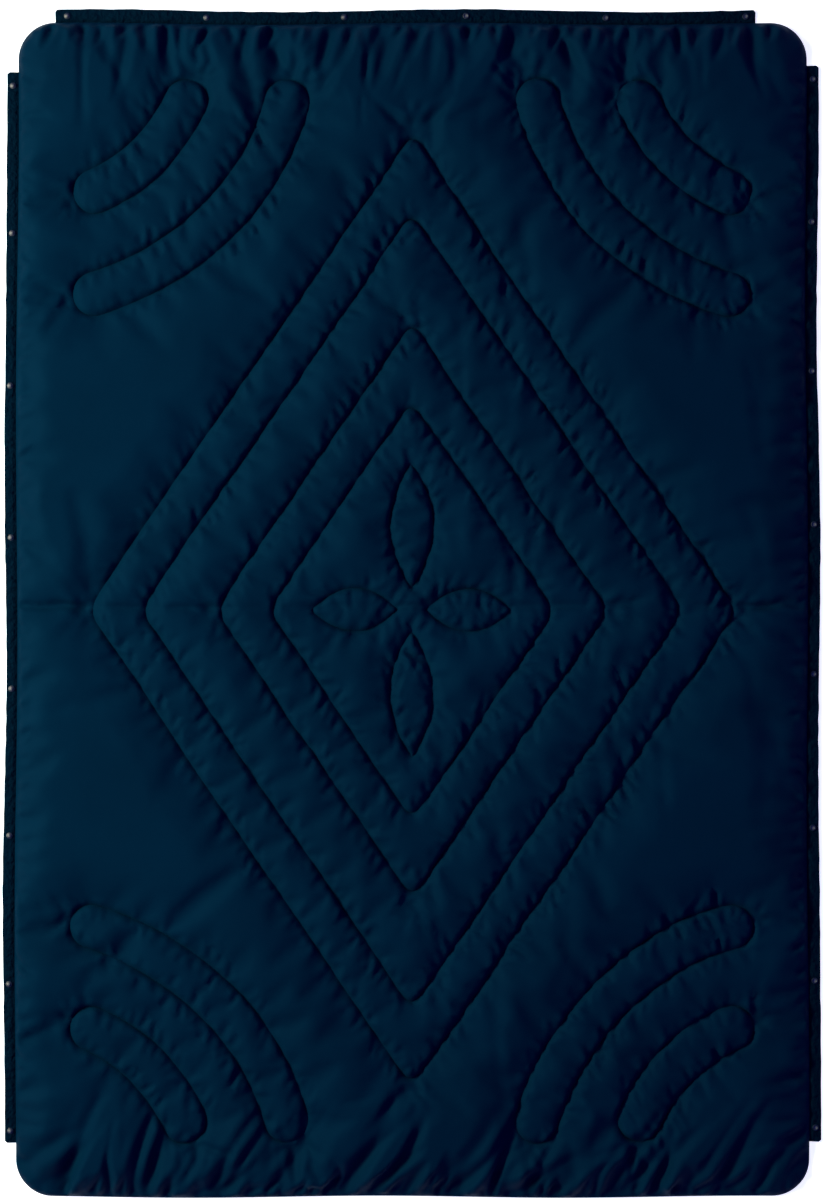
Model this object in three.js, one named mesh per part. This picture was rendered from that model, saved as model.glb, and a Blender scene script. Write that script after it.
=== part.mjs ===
// A quilted outdoor blanket: one filled, stitched body, with a snap tape along its head end and each side.
// It lies flat, face up. Units are millimetres: +X runs across it, +Y towards its head end, and +Z up.
import * as THREE from "three";

// Driving dimensions of the filled body, whose foot end is a little wider than its head end.
const BODY = { width: 1328, length: 1970, corner: 62, flare: 0.004, sway: 1.8, swayPitch: 870 };
const CHANNEL = 74;

// Heights above the ground: over the filling, along a channel, at a line of stitches, and at the sewn rim.
const FACE = { open: 25, channel: 21.5, stitch: 6, rim: 4.7 };
const BACK = { open: 0, stitch: 3.2, rim: 1.1 };

// How far from the rim, or from the stitches, the cloth reaches its full height. A seam itself is flat.
const RISE = { rim: 78, stitch: CHANNEL / 2, open: 95, back: 24 };
const SEAM_WIDTH = 3;

// The quilting: nested lozenges round a four-petal flower, and two round-ended fan bands in each corner.
const LOZENGE = { halfAcross: 545, halfAlong: 800, tip: 30 };
const LOZENGE_LOOPS = [{ inset: 0 }, { inset: CHANNEL }, { inset: 178 }, { inset: 178 + CHANNEL }];
const FLOWER = { petals: 4, root: 0.1, tip: 0.7, width: 0.3 };
const FANS = [{ radius: 312 }, { radius: 472 }];
const FAN_INSET = 130;

// Troughs in the cloth, from the point (x, y) along a heading in degrees. A negative depth is a ridge.
const FOLDS = [
  { x: -529, y: 968, heading: -68, length: 150, width: 17, depth: 4.5 },
  { x: -402, y: 968, heading: -104, length: 90, width: 14, depth: 3.5 },
  { x: -301, y: 968, heading: -76, length: 210, width: 19, depth: 6.5 },
  { x: -232, y: 968, heading: -91, length: 170, width: 16, depth: 5 },
  { x: -180, y: 966, heading: -84, length: 150, width: 14, depth: -2.5 },
  { x: -128, y: 968, heading: -112, length: 160, width: 17, depth: 5.5 },
  { x: -44, y: 968, heading: -107, length: 140, width: 17, depth: 5.5 },
  { x: 34, y: 966, heading: -96, length: 100, width: 16, depth: 4 },
  { x: 101, y: 968, heading: -118, length: 150, width: 18, depth: 5 },
  { x: 178, y: 968, heading: -88, length: 190, width: 17, depth: 5 },
  { x: 252, y: 968, heading: -82, length: 150, width: 16, depth: 4.5 },
  { x: 352, y: 968, heading: -103, length: 230, width: 19, depth: 6 },
  { x: 448, y: 966, heading: -78, length: 110, width: 15, depth: 4 },
  { x: 572, y: 958, heading: -62, length: 130, width: 17, depth: 4.5 },
  { x: -596, y: -930, heading: 52, length: 190, width: 30, depth: 4.5 },
  { x: -455, y: -962, heading: 66, length: 130, width: 22, depth: 4 },
  { x: -312, y: -966, heading: 40, length: 230, width: 22, depth: 6 },
  { x: -214, y: -966, heading: 52, length: 160, width: 17, depth: 5 },
  { x: -118, y: -966, heading: 61, length: 190, width: 20, depth: 6.5 },
  { x: -22, y: -966, heading: 68, length: 150, width: 17, depth: 5.5 },
  { x: 63, y: -966, heading: 58, length: 175, width: 19, depth: 5.5 },
  { x: 148, y: -966, heading: 74, length: 120, width: 16, depth: 4.5 },
  { x: 226, y: -964, heading: 47, length: 170, width: 19, depth: 5 },
  { x: 338, y: -964, heading: 38, length: 200, width: 24, depth: 5 },
  { x: 512, y: -956, heading: 57, length: 150, width: 22, depth: 4.5 },
  { x: -560, y: 190, heading: -88, length: 290, width: 20, depth: 5 },
  { x: -470, y: -560, heading: -148, length: 110, width: 20, depth: 5 },
  { x: 592, y: 430, heading: -92, length: 210, width: 24, depth: 3.5 },
  { x: 584, y: -118, heading: -91, length: 260, width: 26, depth: 4.5 },
];

// The snap tapes. from and to are distances along the body's edge, and snaps are the snaps' places along it.
const TAPE = { gap: 0.4, under: 1.9, thickness: 1.8, waver: 0.9, step: 40, tip: 4 };
const RIPPLE = { height: 1.1, from: 14, to: 60 };
const TAPES = [
  { name: "top", from: -601, to: 578, reach: 22, snaps: [-581, -346, -114, 91, 326, 561] },
  { name: "left", from: -896, to: 903, reach: 19, snaps: [880, 633, 377, 122, -132, -379, -629, -876] },
  { name: "right", from: -893, to: 913, reach: 20, snaps: [890, 651, 401, 144, -107, -365, -622, -869] },
];

// A snap is turned from one profile, of radius and height above the ground. Its post passes through the tape.
const SNAP_HOLE = { radius: 2.5, sides: 8 };
const SNAP_SIDES = 8;
const SNAP_BACK = [[0, 0], [4.3, 0], [5.3, 0.7], [5.2, 1.5], [1.9, 1.6], [1.9, 4]];
const STUD_FRONT = [[5.3, 4], [5.3, 4.7], [2.3, 5.3], [2.3, 7], [1.5, 7.6], [0, 7.6]];
const SOCKET_FRONT = [[5.3, 4], [5.3, 5.1], [4.5, 5.9], [2.9, 5.9], [2.5, 4.7], [0, 4.7]];

// Spacing of the points on each side of the body: along its lines, beside them, and over the open cloth.
const OUTLINE_STEP = 33;
const CURVE_STEP = 16;
const FACE_POINTS = { along: 28, rows: [17, CHANNEL / 2], foldRow: 16, rimRows: [18, 44], open: 50 };
const BACK_POINTS = { along: 42, rows: [RISE.back], rimRows: [RISE.back], open: 96 };
const CLEARANCE = 0.62;
const SLIVER_AREA = 1;

const material = (color, roughness, metalness) =>
  new THREE.MeshStandardMaterial({ color, roughness, metalness });
const SHELL_CLOTH = material(0x002135, 0.85, 0);
const TAPE_CLOTH = material(0x020f1e, 0.8, 0);
const SNAP_METAL = material(0x3c3f45, 0.35, 0.9);

const HALF_WIDTH = BODY.width / 2;
const HALF_LENGTH = BODY.length / 2;

// Where a point of the evenly cut blanket comes to lie: the edges flare and sway a little.
function laid({ x, y }) {
  const side = x / HALF_WIDTH;
  const end = y / HALF_LENGTH;
  const turn = (2 * Math.PI) / BODY.swayPitch;
  return new THREE.Vector2(
    x * (1 - BODY.flare * end) + BODY.sway * side * Math.sin(turn * y + side),
    y + BODY.sway * end * Math.sin(turn * x * 1.4 + end),
  );
}

// Points at an even spacing along each curve of a path, without the path's last point.
function walk(path, step) {
  const curves = path.curves.filter((curve) => curve.getLength() > 1);
  return curves.flatMap((curve) => {
    const parts = Math.max(1, Math.round(curve.getLength() / step));
    return curve.getSpacedPoints(parts).slice(0, -1);
  });
}

// The body's cut outline, a rectangle with round corners.
function outlinePath() {
  const x = HALF_WIDTH - BODY.corner;
  const y = HALF_LENGTH - BODY.corner;
  const quarter = Math.PI / 2;
  const path = new THREE.Path();
  path.moveTo(-x, -HALF_LENGTH);
  path.lineTo(x, -HALF_LENGTH);
  path.absarc(x, -y, BODY.corner, -quarter, 0);
  path.lineTo(HALF_WIDTH, y);
  path.absarc(x, y, BODY.corner, 0, quarter);
  path.lineTo(-x, HALF_LENGTH);
  path.absarc(-x, y, BODY.corner, quarter, 2 * quarter);
  path.lineTo(-HALF_WIDTH, -y);
  path.absarc(-x, -y, BODY.corner, 2 * quarter, 3 * quarter);
  return path;
}

// The share of the outer lozenge that is left when its sides move in by an inset.
function lozengeShare(inset) {
  const { halfAcross, halfAlong } = LOZENGE;
  return 1 - (inset * Math.hypot(halfAcross, halfAlong)) / (halfAcross * halfAlong);
}

// One loop of stitches in the shape of a lozenge with rounded tips.
function lozengePath({ inset }) {
  const across = LOZENGE.halfAcross * lozengeShare(inset);
  const along = LOZENGE.halfAlong * lozengeShare(inset);
  const tips = [[across, 0], [0, along], [-across, 0], [0, -along]].map((tip) => new THREE.Vector2(...tip));
  const share = LOZENGE.tip / Math.hypot(across, along);
  const path = new THREE.Path();
  path.moveTo(...tips[0].clone().lerp(tips[3], share).toArray());
  tips.forEach((tip, i) => {
    const next = tips[(i + 1) % tips.length];
    path.quadraticCurveTo(tip.x, tip.y, ...tip.clone().lerp(next, share).toArray());
    path.lineTo(...next.clone().lerp(tip, share).toArray());
  });
  return path;
}

// One petal of the flower, a leaf between two arcs, sized as a share of the inner lozenge.
function petalPath(index) {
  const share = lozengeShare(LOZENGE_LOOPS.at(-1).inset);
  const isUpright = index % 2 === 1;
  const reach = share * (isUpright ? LOZENGE.halfAlong : LOZENGE.halfAcross);
  const turn = (2 * Math.PI * index) / FLOWER.petals;
  const centre = new THREE.Vector2();
  const at = (along, across) => new THREE.Vector2(along * reach, across).rotateAround(centre, turn);
  const width = FLOWER.width * share * LOZENGE.halfAcross;
  const [root, tip] = [at(FLOWER.root, 0), at(FLOWER.tip, 0)];
  const middle = (FLOWER.root + FLOWER.tip) / 2;
  const path = new THREE.Path();
  path.moveTo(root.x, root.y);
  path.quadraticCurveTo(...at(middle, width).toArray(), tip.x, tip.y);
  path.quadraticCurveTo(...at(middle, -width).toArray(), root.x, root.y);
  return path;
}

// One fan band in a corner of the blanket: a ring sector a channel wide, with round ends clear of the edges.
function fanPath({ radius }, signX, signY) {
  const corner = new THREE.Vector2(signX * HALF_WIDTH, signY * HALF_LENGTH);
  const start = Math.atan2(-signY, -signX) - Math.PI / 4;
  const lean = Math.asin(FAN_INSET / radius);
  const [from, to] = [start + lean, start + Math.PI / 2 - lean];
  const half = CHANNEL / 2;
  const capAt = (angle) => new THREE.Vector2(radius, 0).rotateAround(new THREE.Vector2(), angle).add(corner);
  const path = new THREE.Path();
  path.absarc(corner.x, corner.y, radius + half, from, to);
  path.absarc(capAt(to).x, capAt(to).y, half, to, to + Math.PI);
  path.absarc(corner.x, corner.y, radius - half, to, from, true);
  path.absarc(capAt(from).x, capAt(from).y, half, from + Math.PI, from + 2 * Math.PI);
  return path;
}

function stitchPaths() {
  const petals = Array.from({ length: FLOWER.petals }, (_, i) => petalPath(i));
  const fans = FANS.flatMap((fan) => [-1, 1].flatMap((sx) => [-1, 1].map((sy) => fanPath(fan, sx, sy))));
  return [...LOZENGE_LOOPS.map(lozengePath), ...petals, ...fans];
}

// The straight pieces between the points of a closed loop.
function sidesOf(points) {
  const flat = points.map((p) => new THREE.Vector3(p.x, p.y, 0));
  return flat.map((p, i) => new THREE.Line3(p, flat[(i + 1) % flat.length]));
}

// The shortest distance from a point to any of the straight pieces.
function distanceTo(sides, point) {
  const near = new THREE.Vector3();
  const at = new THREE.Vector3(point.x, point.y, 0);
  const squared = (side) => side.closestPointToPoint(at, true, near).distanceToSquared(at);
  return Math.sqrt(sides.reduce((best, side) => Math.min(best, squared(side)), Infinity));
}

const RIM = walk(outlinePath(), OUTLINE_STEP);
const RIM_SIDES = sidesOf(RIM);
const STITCHES = stitchPaths();
const STITCH_SIDES = STITCHES.flatMap((path) => sidesOf(walk(path, CURVE_STEP)));
const FOLD_LINES = FOLDS.map((fold) => {
  const start = new THREE.Vector3(fold.x, fold.y, 0);
  const heading = THREE.MathUtils.degToRad(fold.heading);
  const end = new THREE.Vector3(Math.cos(heading), Math.sin(heading), 0);
  return { ...fold, line: new THREE.Line3(start, end.multiplyScalar(fold.length).add(start)) };
});

// The rise of cloth over filling: 0 at a seam, and 1 from the full distance on.
function crown(distance, full) {
  const t = THREE.MathUtils.clamp((distance - SEAM_WIDTH / 2) / (full - SEAM_WIDTH / 2), 0, 1);
  return Math.sqrt(t * (2 - t));
}

// The depth of the folds at a point. Each is deepest a third of the way along, and fades to both its ends.
function foldDepth(point) {
  const at = new THREE.Vector3(point.x, point.y, 0);
  const near = new THREE.Vector3();
  return FOLD_LINES.reduce((sum, { line, width, depth }) => {
    const along = line.closestPointToPointParameter(at, true);
    const across = line.closestPointToPoint(at, true, near).distanceTo(at) / width;
    const fade = Math.sin(Math.PI * Math.sqrt(0.04 + 0.94 * along));
    return sum + depth * fade * Math.exp(-across * across);
  }, 0);
}

function faceHeight(point) {
  const stitches = distanceTo(STITCH_SIDES, point);
  const seam = crown(stitches, RISE.stitch);
  const open = THREE.MathUtils.smoothstep(stitches, RISE.stitch, RISE.open);
  const puffed = FACE.stitch + (FACE.channel - FACE.stitch) * seam + (FACE.open - FACE.channel) * open;
  const rim = crown(distanceTo(RIM_SIDES, point), RISE.rim);
  return FACE.rim + (puffed - FACE.rim - foldDepth(point) * seam) * rim;
}

// The back lies on the ground, and is drawn up only at the stitches and at the rim.
function backHeight(point) {
  const seam = 1 - crown(distanceTo(STITCH_SIDES, point), RISE.back);
  const rim = 1 - crown(distanceTo(RIM_SIDES, point), RISE.back);
  return Math.max(BACK.open, BACK.stitch * seam, BACK.rim * rim);
}

function isInside(p, loop) {
  return loop.reduce((inside, a, i) => {
    const b = loop[(i + 1) % loop.length];
    const crosses = a.y > p.y !== b.y > p.y && p.x < a.x + ((p.y - a.y) * (b.x - a.x)) / (b.y - a.y);
    return crosses ? !inside : inside;
  }, false);
}

// Points at a distance to either side of a line, opposite the middles of its pieces.
function beside(line, distance) {
  return line.slice(0, -1).flatMap((p, i) => {
    const next = line[i + 1];
    const normal = new THREE.Vector2(next.y - p.y, p.x - next.x).normalize();
    const middle = p.clone().lerp(next, 0.5);
    return [1, -1].map((side) => middle.clone().addScaledVector(normal, side * distance));
  });
}

// Points over the whole blanket in staggered rows.
function honeycomb(pitch) {
  const rowPitch = pitch * Math.sin(Math.PI / 3);
  const rowCount = Math.floor(BODY.length / rowPitch);
  const inRow = Math.floor(BODY.width / pitch);
  const row = (r) => Array.from({ length: inRow }, (_, i) =>
    new THREE.Vector2((i + (r % 2) / 2 + 0.25) * pitch - HALF_WIDTH, (r + 0.5) * rowPitch - HALF_LENGTH));
  return Array.from({ length: rowCount }, (_, r) => row(r)).flat();
}

// The points of one side of the body: its rim, its stitch lines and rows beside them, the folds, the rest.
function sidePoints({ along, rows, foldRow, rimRows, open }) {
  const points = [...RIM];
  const add = (candidates, clear, seamClear = 0) => {
    for (const p of candidates) {
      const isFree = isInside(p, RIM) && points.every((q) => q.distanceTo(p) > clear);
      if (isFree && (seamClear === 0 || distanceTo(STITCH_SIDES, p) > seamClear)) points.push(p);
    }
  };
  const closed = (line) => [...line, line[0]];
  const lines = STITCHES.map((path) => closed(walk(path, along)));
  rimRows.forEach((row) => add(beside(closed(RIM), row), rimRows[0] * CLEARANCE));
  lines.forEach((line) => add(line, along * 0.4));
  for (const row of rows) {
    lines.forEach((line) => add(beside(line, row), row * CLEARANCE, row * 0.8));
  }
  if (foldRow) {
    const creases = FOLD_LINES.map(({ line, length }) => {
      const parts = Math.round(length / along);
      return Array.from({ length: parts + 1 }, (_, i) => {
        const { x, y } = line.at(i / parts, new THREE.Vector3());
        return new THREE.Vector2(x, y);
      });
    });
    creases.forEach((crease) => add(crease, foldRow, foldRow));
    creases.forEach((crease) => add(beside(crease, foldRow), foldRow * 0.8, foldRow));
  }
  add(honeycomb(open), open * CLEARANCE);
  return points;
}

// Delaunay triangles: each point in turn removes those whose circle holds it, and joins to their gap's rim.
function delaunay(points) {
  const count = points.length;
  const far = 1e5;
  const frame = [[-far, -far], [far, -far], [0, far]].map((corner) => new THREE.Vector2(...corner));
  const nudge = (p, i) => new THREE.Vector2(p.x + 0.02 * Math.sin(i * 12.9), p.y + 0.02 * Math.sin(i * 78.2));
  const all = [...points, ...frame].map(nudge);
  const circled = (a, b, c) => {
    const ab = all[b].clone().sub(all[a]);
    const ac = all[c].clone().sub(all[a]);
    const double = 2 * ab.cross(ac);
    const [b2, c2] = [ab.lengthSq(), ac.lengthSq()];
    const centre = new THREE.Vector2((ac.y * b2 - ab.y * c2) / double, (ab.x * c2 - ac.x * b2) / double);
    return { corners: [a, b, c], radius2: centre.lengthSq(), centre: centre.add(all[a]) };
  };
  let triangles = [circled(count, count + 1, count + 2)];
  for (let i = 0; i < count; i++) {
    const rim = new Map();
    triangles = triangles.filter(({ corners, centre, radius2 }) => {
      if (all[i].distanceToSquared(centre) > radius2) return true;
      corners.forEach((from, k) => {
        const to = corners[(k + 1) % 3];
        if (!rim.delete(`${to} ${from}`)) rim.set(`${from} ${to}`, [from, to]);
      });
      return false;
    });
    for (const [from, to] of rim.values()) triangles.push(circled(from, to, i));
  }
  return triangles.map(({ corners }) => corners).filter((corners) => Math.max(...corners) < count);
}

// The triangles that fill an outline around its holes.
function fillTriangles(points, outline, holes) {
  return delaunay(points).filter((corners) => {
    const [a, b, c] = corners.map((k) => points[k]);
    const area = b.clone().sub(a).cross(c.clone().sub(a)) / 2;
    const middle = a.clone().add(b).add(c).divideScalar(3);
    return area > SLIVER_AREA && isInside(middle, outline) && !holes.some((hole) => isInside(middle, hole));
  });
}

// A closed solid between a lower and an upper side, which share an outline and its holes.
// Each side lists its points, those of the outline and the holes first, in order.
function solidBetween(outline, holes, lower, upper) {
  const positions = [];
  const index = [];
  const firsts = [lower, upper].map(({ points, heightAt }) => {
    const first = positions.length / 3;
    for (const p of points) positions.push(...laid(p).toArray(), heightAt(p));
    const isUpper = first > 0;
    for (const [a, b, c] of fillTriangles(points, outline, holes)) {
      index.push(...(isUpper ? [a, b, c] : [a, c, b]).map((k) => first + k));
    }
    return first;
  });
  let start = 0;
  for (const loop of [outline, ...holes]) {
    for (let i = 0; i < loop.length; i++) {
      const [a, b] = firsts.map((first) => first + start + i);
      const [aNext, bNext] = firsts.map((first) => first + start + ((i + 1) % loop.length));
      index.push(a, aNext, bNext, a, bNext, b);
    }
    start += loop.length;
  }
  const geometry = new THREE.BufferGeometry();
  geometry.setAttribute("position", new THREE.Float32BufferAttribute(positions, 3));
  geometry.setIndex(index);
  return geometry;
}

function bodyGeometry() {
  const back = { points: sidePoints(BACK_POINTS), heightAt: backHeight };
  const face = { points: sidePoints(FACE_POINTS), heightAt: faceHeight };
  return solidBetween(RIM, [], back, face);
}

// A place on a tape, from its distance along the body's edge and its distance out from that edge.
function onTape({ name }, along, out) {
  if (name === "top") return new THREE.Vector2(along, HALF_LENGTH + out);
  const side = name === "left" ? -1 : 1;
  return new THREE.Vector2(side * (HALF_WIDTH + out), along);
}

// The tape stands a little off the ground between two snaps, and is held down at each of them.
function rippleAt(along, snaps) {
  const nearest = Math.min(...snaps.map((snap) => Math.abs(snap - along)));
  return RIPPLE.height * THREE.MathUtils.smoothstep(nearest, RIPPLE.from, RIPPLE.to);
}

// One tape: a strip with a hole for each snap, clipped outer corners and a slightly wavering outer edge.
function tapeGeometry(tape) {
  const { from, to, reach, snaps } = tape;
  const parts = Math.round((to - from) / TAPE.step);
  const stations = Array.from({ length: parts + 1 }, (_, i) => from + ((to - from) * i) / parts);
  const outer = (along) => reach + TAPE.waver * Math.sin(along / 97);
  const inner = stations.map((along) => onTape(tape, along, TAPE.gap));
  const outside = [
    onTape(tape, from, outer(from) - TAPE.tip),
    onTape(tape, from + TAPE.tip, outer(from)),
    ...stations.slice(1, -1).map((along) => onTape(tape, along, outer(along))),
    onTape(tape, to - TAPE.tip, outer(to)),
    onTape(tape, to, outer(to) - TAPE.tip),
  ];
  const hole = (snap) => {
    const centre = onTape(tape, snap, reach / 2);
    const rim = new THREE.Path().absarc(centre.x, centre.y, SNAP_HOLE.radius, 0, 2 * Math.PI, true);
    return rim.getSpacedPoints(SNAP_HOLE.sides).slice(0, -1);
  };
  const ring = [...inner, ...outside.reverse()];
  const outline = THREE.ShapeUtils.isClockWise(ring) ? ring.reverse() : ring;
  const holes = snaps.map(hole);
  const points = [...outline, ...holes.flat()];
  const alongOf = (p) => (tape.name === "top" ? p.x : p.y);
  const under = (p) => TAPE.under + rippleAt(alongOf(p), snaps);
  const over = (p) => under(p) + TAPE.thickness;
  return solidBetween(outline, holes, { points, heightAt: under }, { points, heightAt: over });
}

function snapGeometry(front) {
  const profile = [...SNAP_BACK, ...front].map(([radius, height]) => new THREE.Vector2(radius, height));
  return new THREE.LatheGeometry(profile, SNAP_SIDES).rotateX(Math.PI / 2);
}

function namedMesh(name, geometry, finish) {
  const mesh = new THREE.Mesh(geometry, finish);
  mesh.name = name;
  return mesh;
}

// A tape with its snaps: studs on the left tape and the left half of the top tape, sockets on the rest.
function tapeWithSnaps(tape) {
  const group = new THREE.Group();
  group.add(namedMesh(`tape_${tape.name}`, tapeGeometry(tape), TAPE_CLOTH));
  tape.snaps.forEach((along, i) => {
    const isStud = tape.name === "left" || (tape.name === "top" && along < 0);
    const geometry = snapGeometry(isStud ? STUD_FRONT : SOCKET_FRONT);
    const snap = namedMesh(`snap_${tape.name}_${i + 1}`, geometry, SNAP_METAL);
    const { x, y } = laid(onTape(tape, along, tape.reach / 2));
    snap.position.set(x, y, 0);
    group.add(snap);
  });
  return group;
}

const blanket = new THREE.Group();
blanket.add(namedMesh("quilted_body", bodyGeometry(), SHELL_CLOTH));
TAPES.forEach((tape) => blanket.add(tapeWithSnaps(tape)));

// The origin is on the ground under the middle of the whole blanket.
const bounds = new THREE.Box3().setFromObject(blanket);
const middle = bounds.getCenter(new THREE.Vector3());
blanket.position.set(-middle.x, -middle.y, -bounds.min.z);

export default blanket;
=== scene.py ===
"""A quilted outdoor blanket with snap tapes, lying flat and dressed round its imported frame.

Lengths are in metres: +X runs across the blanket, +Y towards its head end, and +Z up. A plan position is a
place on the evenly cut blanket, before its edges sway and its stitch lines wander.
"""

from __future__ import annotations

import logging
import math
from dataclasses import dataclass, field
from enum import Enum, IntEnum
from typing import Callable, Iterator, NamedTuple, Sequence

import bmesh
import bpy
import numpy as np
from mathutils import Matrix, Vector
from mathutils.geometry import delaunay_2d_cdt
from mathutils.kdtree import KDTree

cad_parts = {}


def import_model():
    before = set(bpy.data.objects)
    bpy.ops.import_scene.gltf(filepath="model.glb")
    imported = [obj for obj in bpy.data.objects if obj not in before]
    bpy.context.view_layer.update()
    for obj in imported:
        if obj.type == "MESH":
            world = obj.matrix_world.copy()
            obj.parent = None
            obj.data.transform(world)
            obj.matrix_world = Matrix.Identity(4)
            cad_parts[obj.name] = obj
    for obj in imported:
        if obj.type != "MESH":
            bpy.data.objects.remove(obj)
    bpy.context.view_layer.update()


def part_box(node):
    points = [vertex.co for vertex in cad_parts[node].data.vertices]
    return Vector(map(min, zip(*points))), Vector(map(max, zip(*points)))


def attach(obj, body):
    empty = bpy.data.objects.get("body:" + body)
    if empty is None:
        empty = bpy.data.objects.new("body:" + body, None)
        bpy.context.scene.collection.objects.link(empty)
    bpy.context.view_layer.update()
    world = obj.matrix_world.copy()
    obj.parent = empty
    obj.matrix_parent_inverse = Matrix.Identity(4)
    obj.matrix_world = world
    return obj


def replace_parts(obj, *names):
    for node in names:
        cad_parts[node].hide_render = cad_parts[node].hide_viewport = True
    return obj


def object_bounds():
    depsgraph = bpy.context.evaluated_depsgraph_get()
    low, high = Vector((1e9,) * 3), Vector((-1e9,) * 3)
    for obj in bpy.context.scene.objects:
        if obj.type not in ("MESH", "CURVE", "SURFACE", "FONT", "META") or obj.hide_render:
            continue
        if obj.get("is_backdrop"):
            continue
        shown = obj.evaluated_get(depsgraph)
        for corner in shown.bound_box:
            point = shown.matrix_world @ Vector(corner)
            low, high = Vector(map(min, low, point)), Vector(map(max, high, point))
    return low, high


LOG = logging.getLogger("blanket")
MM = 0.001
PHOTO_HEIGHT = 1200
BODY = "root"
SAME_PLACE = 1e-7
SLIVER_AREA = 2e-8
TINY = 1e-9
NOISE_START = 2
NOISE_DETAIL = 3
LEAST_POINTS = 8
OUTLINE_STEP = 0.033
Span = tuple[float, float]
Triple = tuple[float, float, float]


class Seed(IntEnum):
    """The seed of each thing that is drawn at random on the body and the tapes."""

    FINE_PLAN = 21
    OPEN_PLAN = 22
    BACK_PLAN = 23
    FINE_PUCKERS = 31
    WIDE_PUCKERS = 32
    PUCKER_REACH = 33
    PUCKER_LEAN = 34
    WIDE_LUMPS = 41
    FINE_LUMPS = 42
    CREASE_SWAY = 43
    CREASE_BREAKS = 44
    TAPE_EDGE = 51
    TAPE_RIPPLE = 52
    TAPE_CRINKLE = 53


class Swell(NamedTuple):
    """An unevenness: its height and its wavelength, in metres."""

    height: float
    pitch: float


class Fold(NamedTuple):
    """A trough in the cloth, in millimetres and degrees. A negative depth is a ridge."""

    x: float
    y: float
    heading: float
    length: float
    width: float
    depth: float


# The gathers that run in from the head end and the foot end, then the long soft creases of the open cloth.
FOLDS = (
    Fold(-529, 968, -68, 150, 17, 4.5),
    Fold(-402, 968, -104, 90, 14, 3.5),
    Fold(-301, 968, -76, 210, 19, 6.5),
    Fold(-232, 968, -91, 170, 16, 5),
    Fold(-180, 966, -84, 150, 14, -2.5),
    Fold(-128, 968, -112, 160, 17, 5.5),
    Fold(-44, 968, -107, 140, 17, 5.5),
    Fold(34, 966, -96, 100, 16, 4),
    Fold(101, 968, -118, 150, 18, 5),
    Fold(178, 968, -88, 190, 17, 5),
    Fold(252, 968, -82, 150, 16, 4.5),
    Fold(352, 968, -103, 230, 19, 6),
    Fold(448, 966, -78, 110, 15, 4),
    Fold(572, 958, -62, 130, 17, 4.5),
    Fold(-596, -930, 52, 190, 30, 4.5),
    Fold(-455, -962, 66, 130, 22, 4),
    Fold(-312, -966, 40, 230, 22, 6),
    Fold(-214, -966, 52, 160, 17, 5),
    Fold(-118, -966, 61, 190, 20, 6.5),
    Fold(-22, -966, 68, 150, 17, 5.5),
    Fold(63, -966, 58, 175, 19, 5.5),
    Fold(148, -966, 74, 120, 16, 4.5),
    Fold(226, -964, 47, 170, 19, 5),
    Fold(338, -964, 38, 200, 24, 5),
    Fold(512, -956, 57, 150, 22, 4.5),
    Fold(-560, 190, -88, 290, 20, 5),
    Fold(-470, -560, -148, 110, 20, 5),
    Fold(592, 430, -92, 210, 24, 3.5),
    Fold(584, -118, -91, 260, 26, 4.5),
)


class GatherRow(NamedTuple):
    """One edge's gathers: how far the row reaches from its middle, in millimetres, and how they run in."""

    reach: float
    pitch: float
    stray: float
    spread: float
    scale: float

    def places(self, random: np.random.Generator) -> Iterator[float]:
        """Draws the gathers' places along the edge, one after another."""
        for place in np.arange(-self.reach, self.reach + 1, self.pitch):
            yield place + random.uniform(-self.stray, self.stray)


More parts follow.
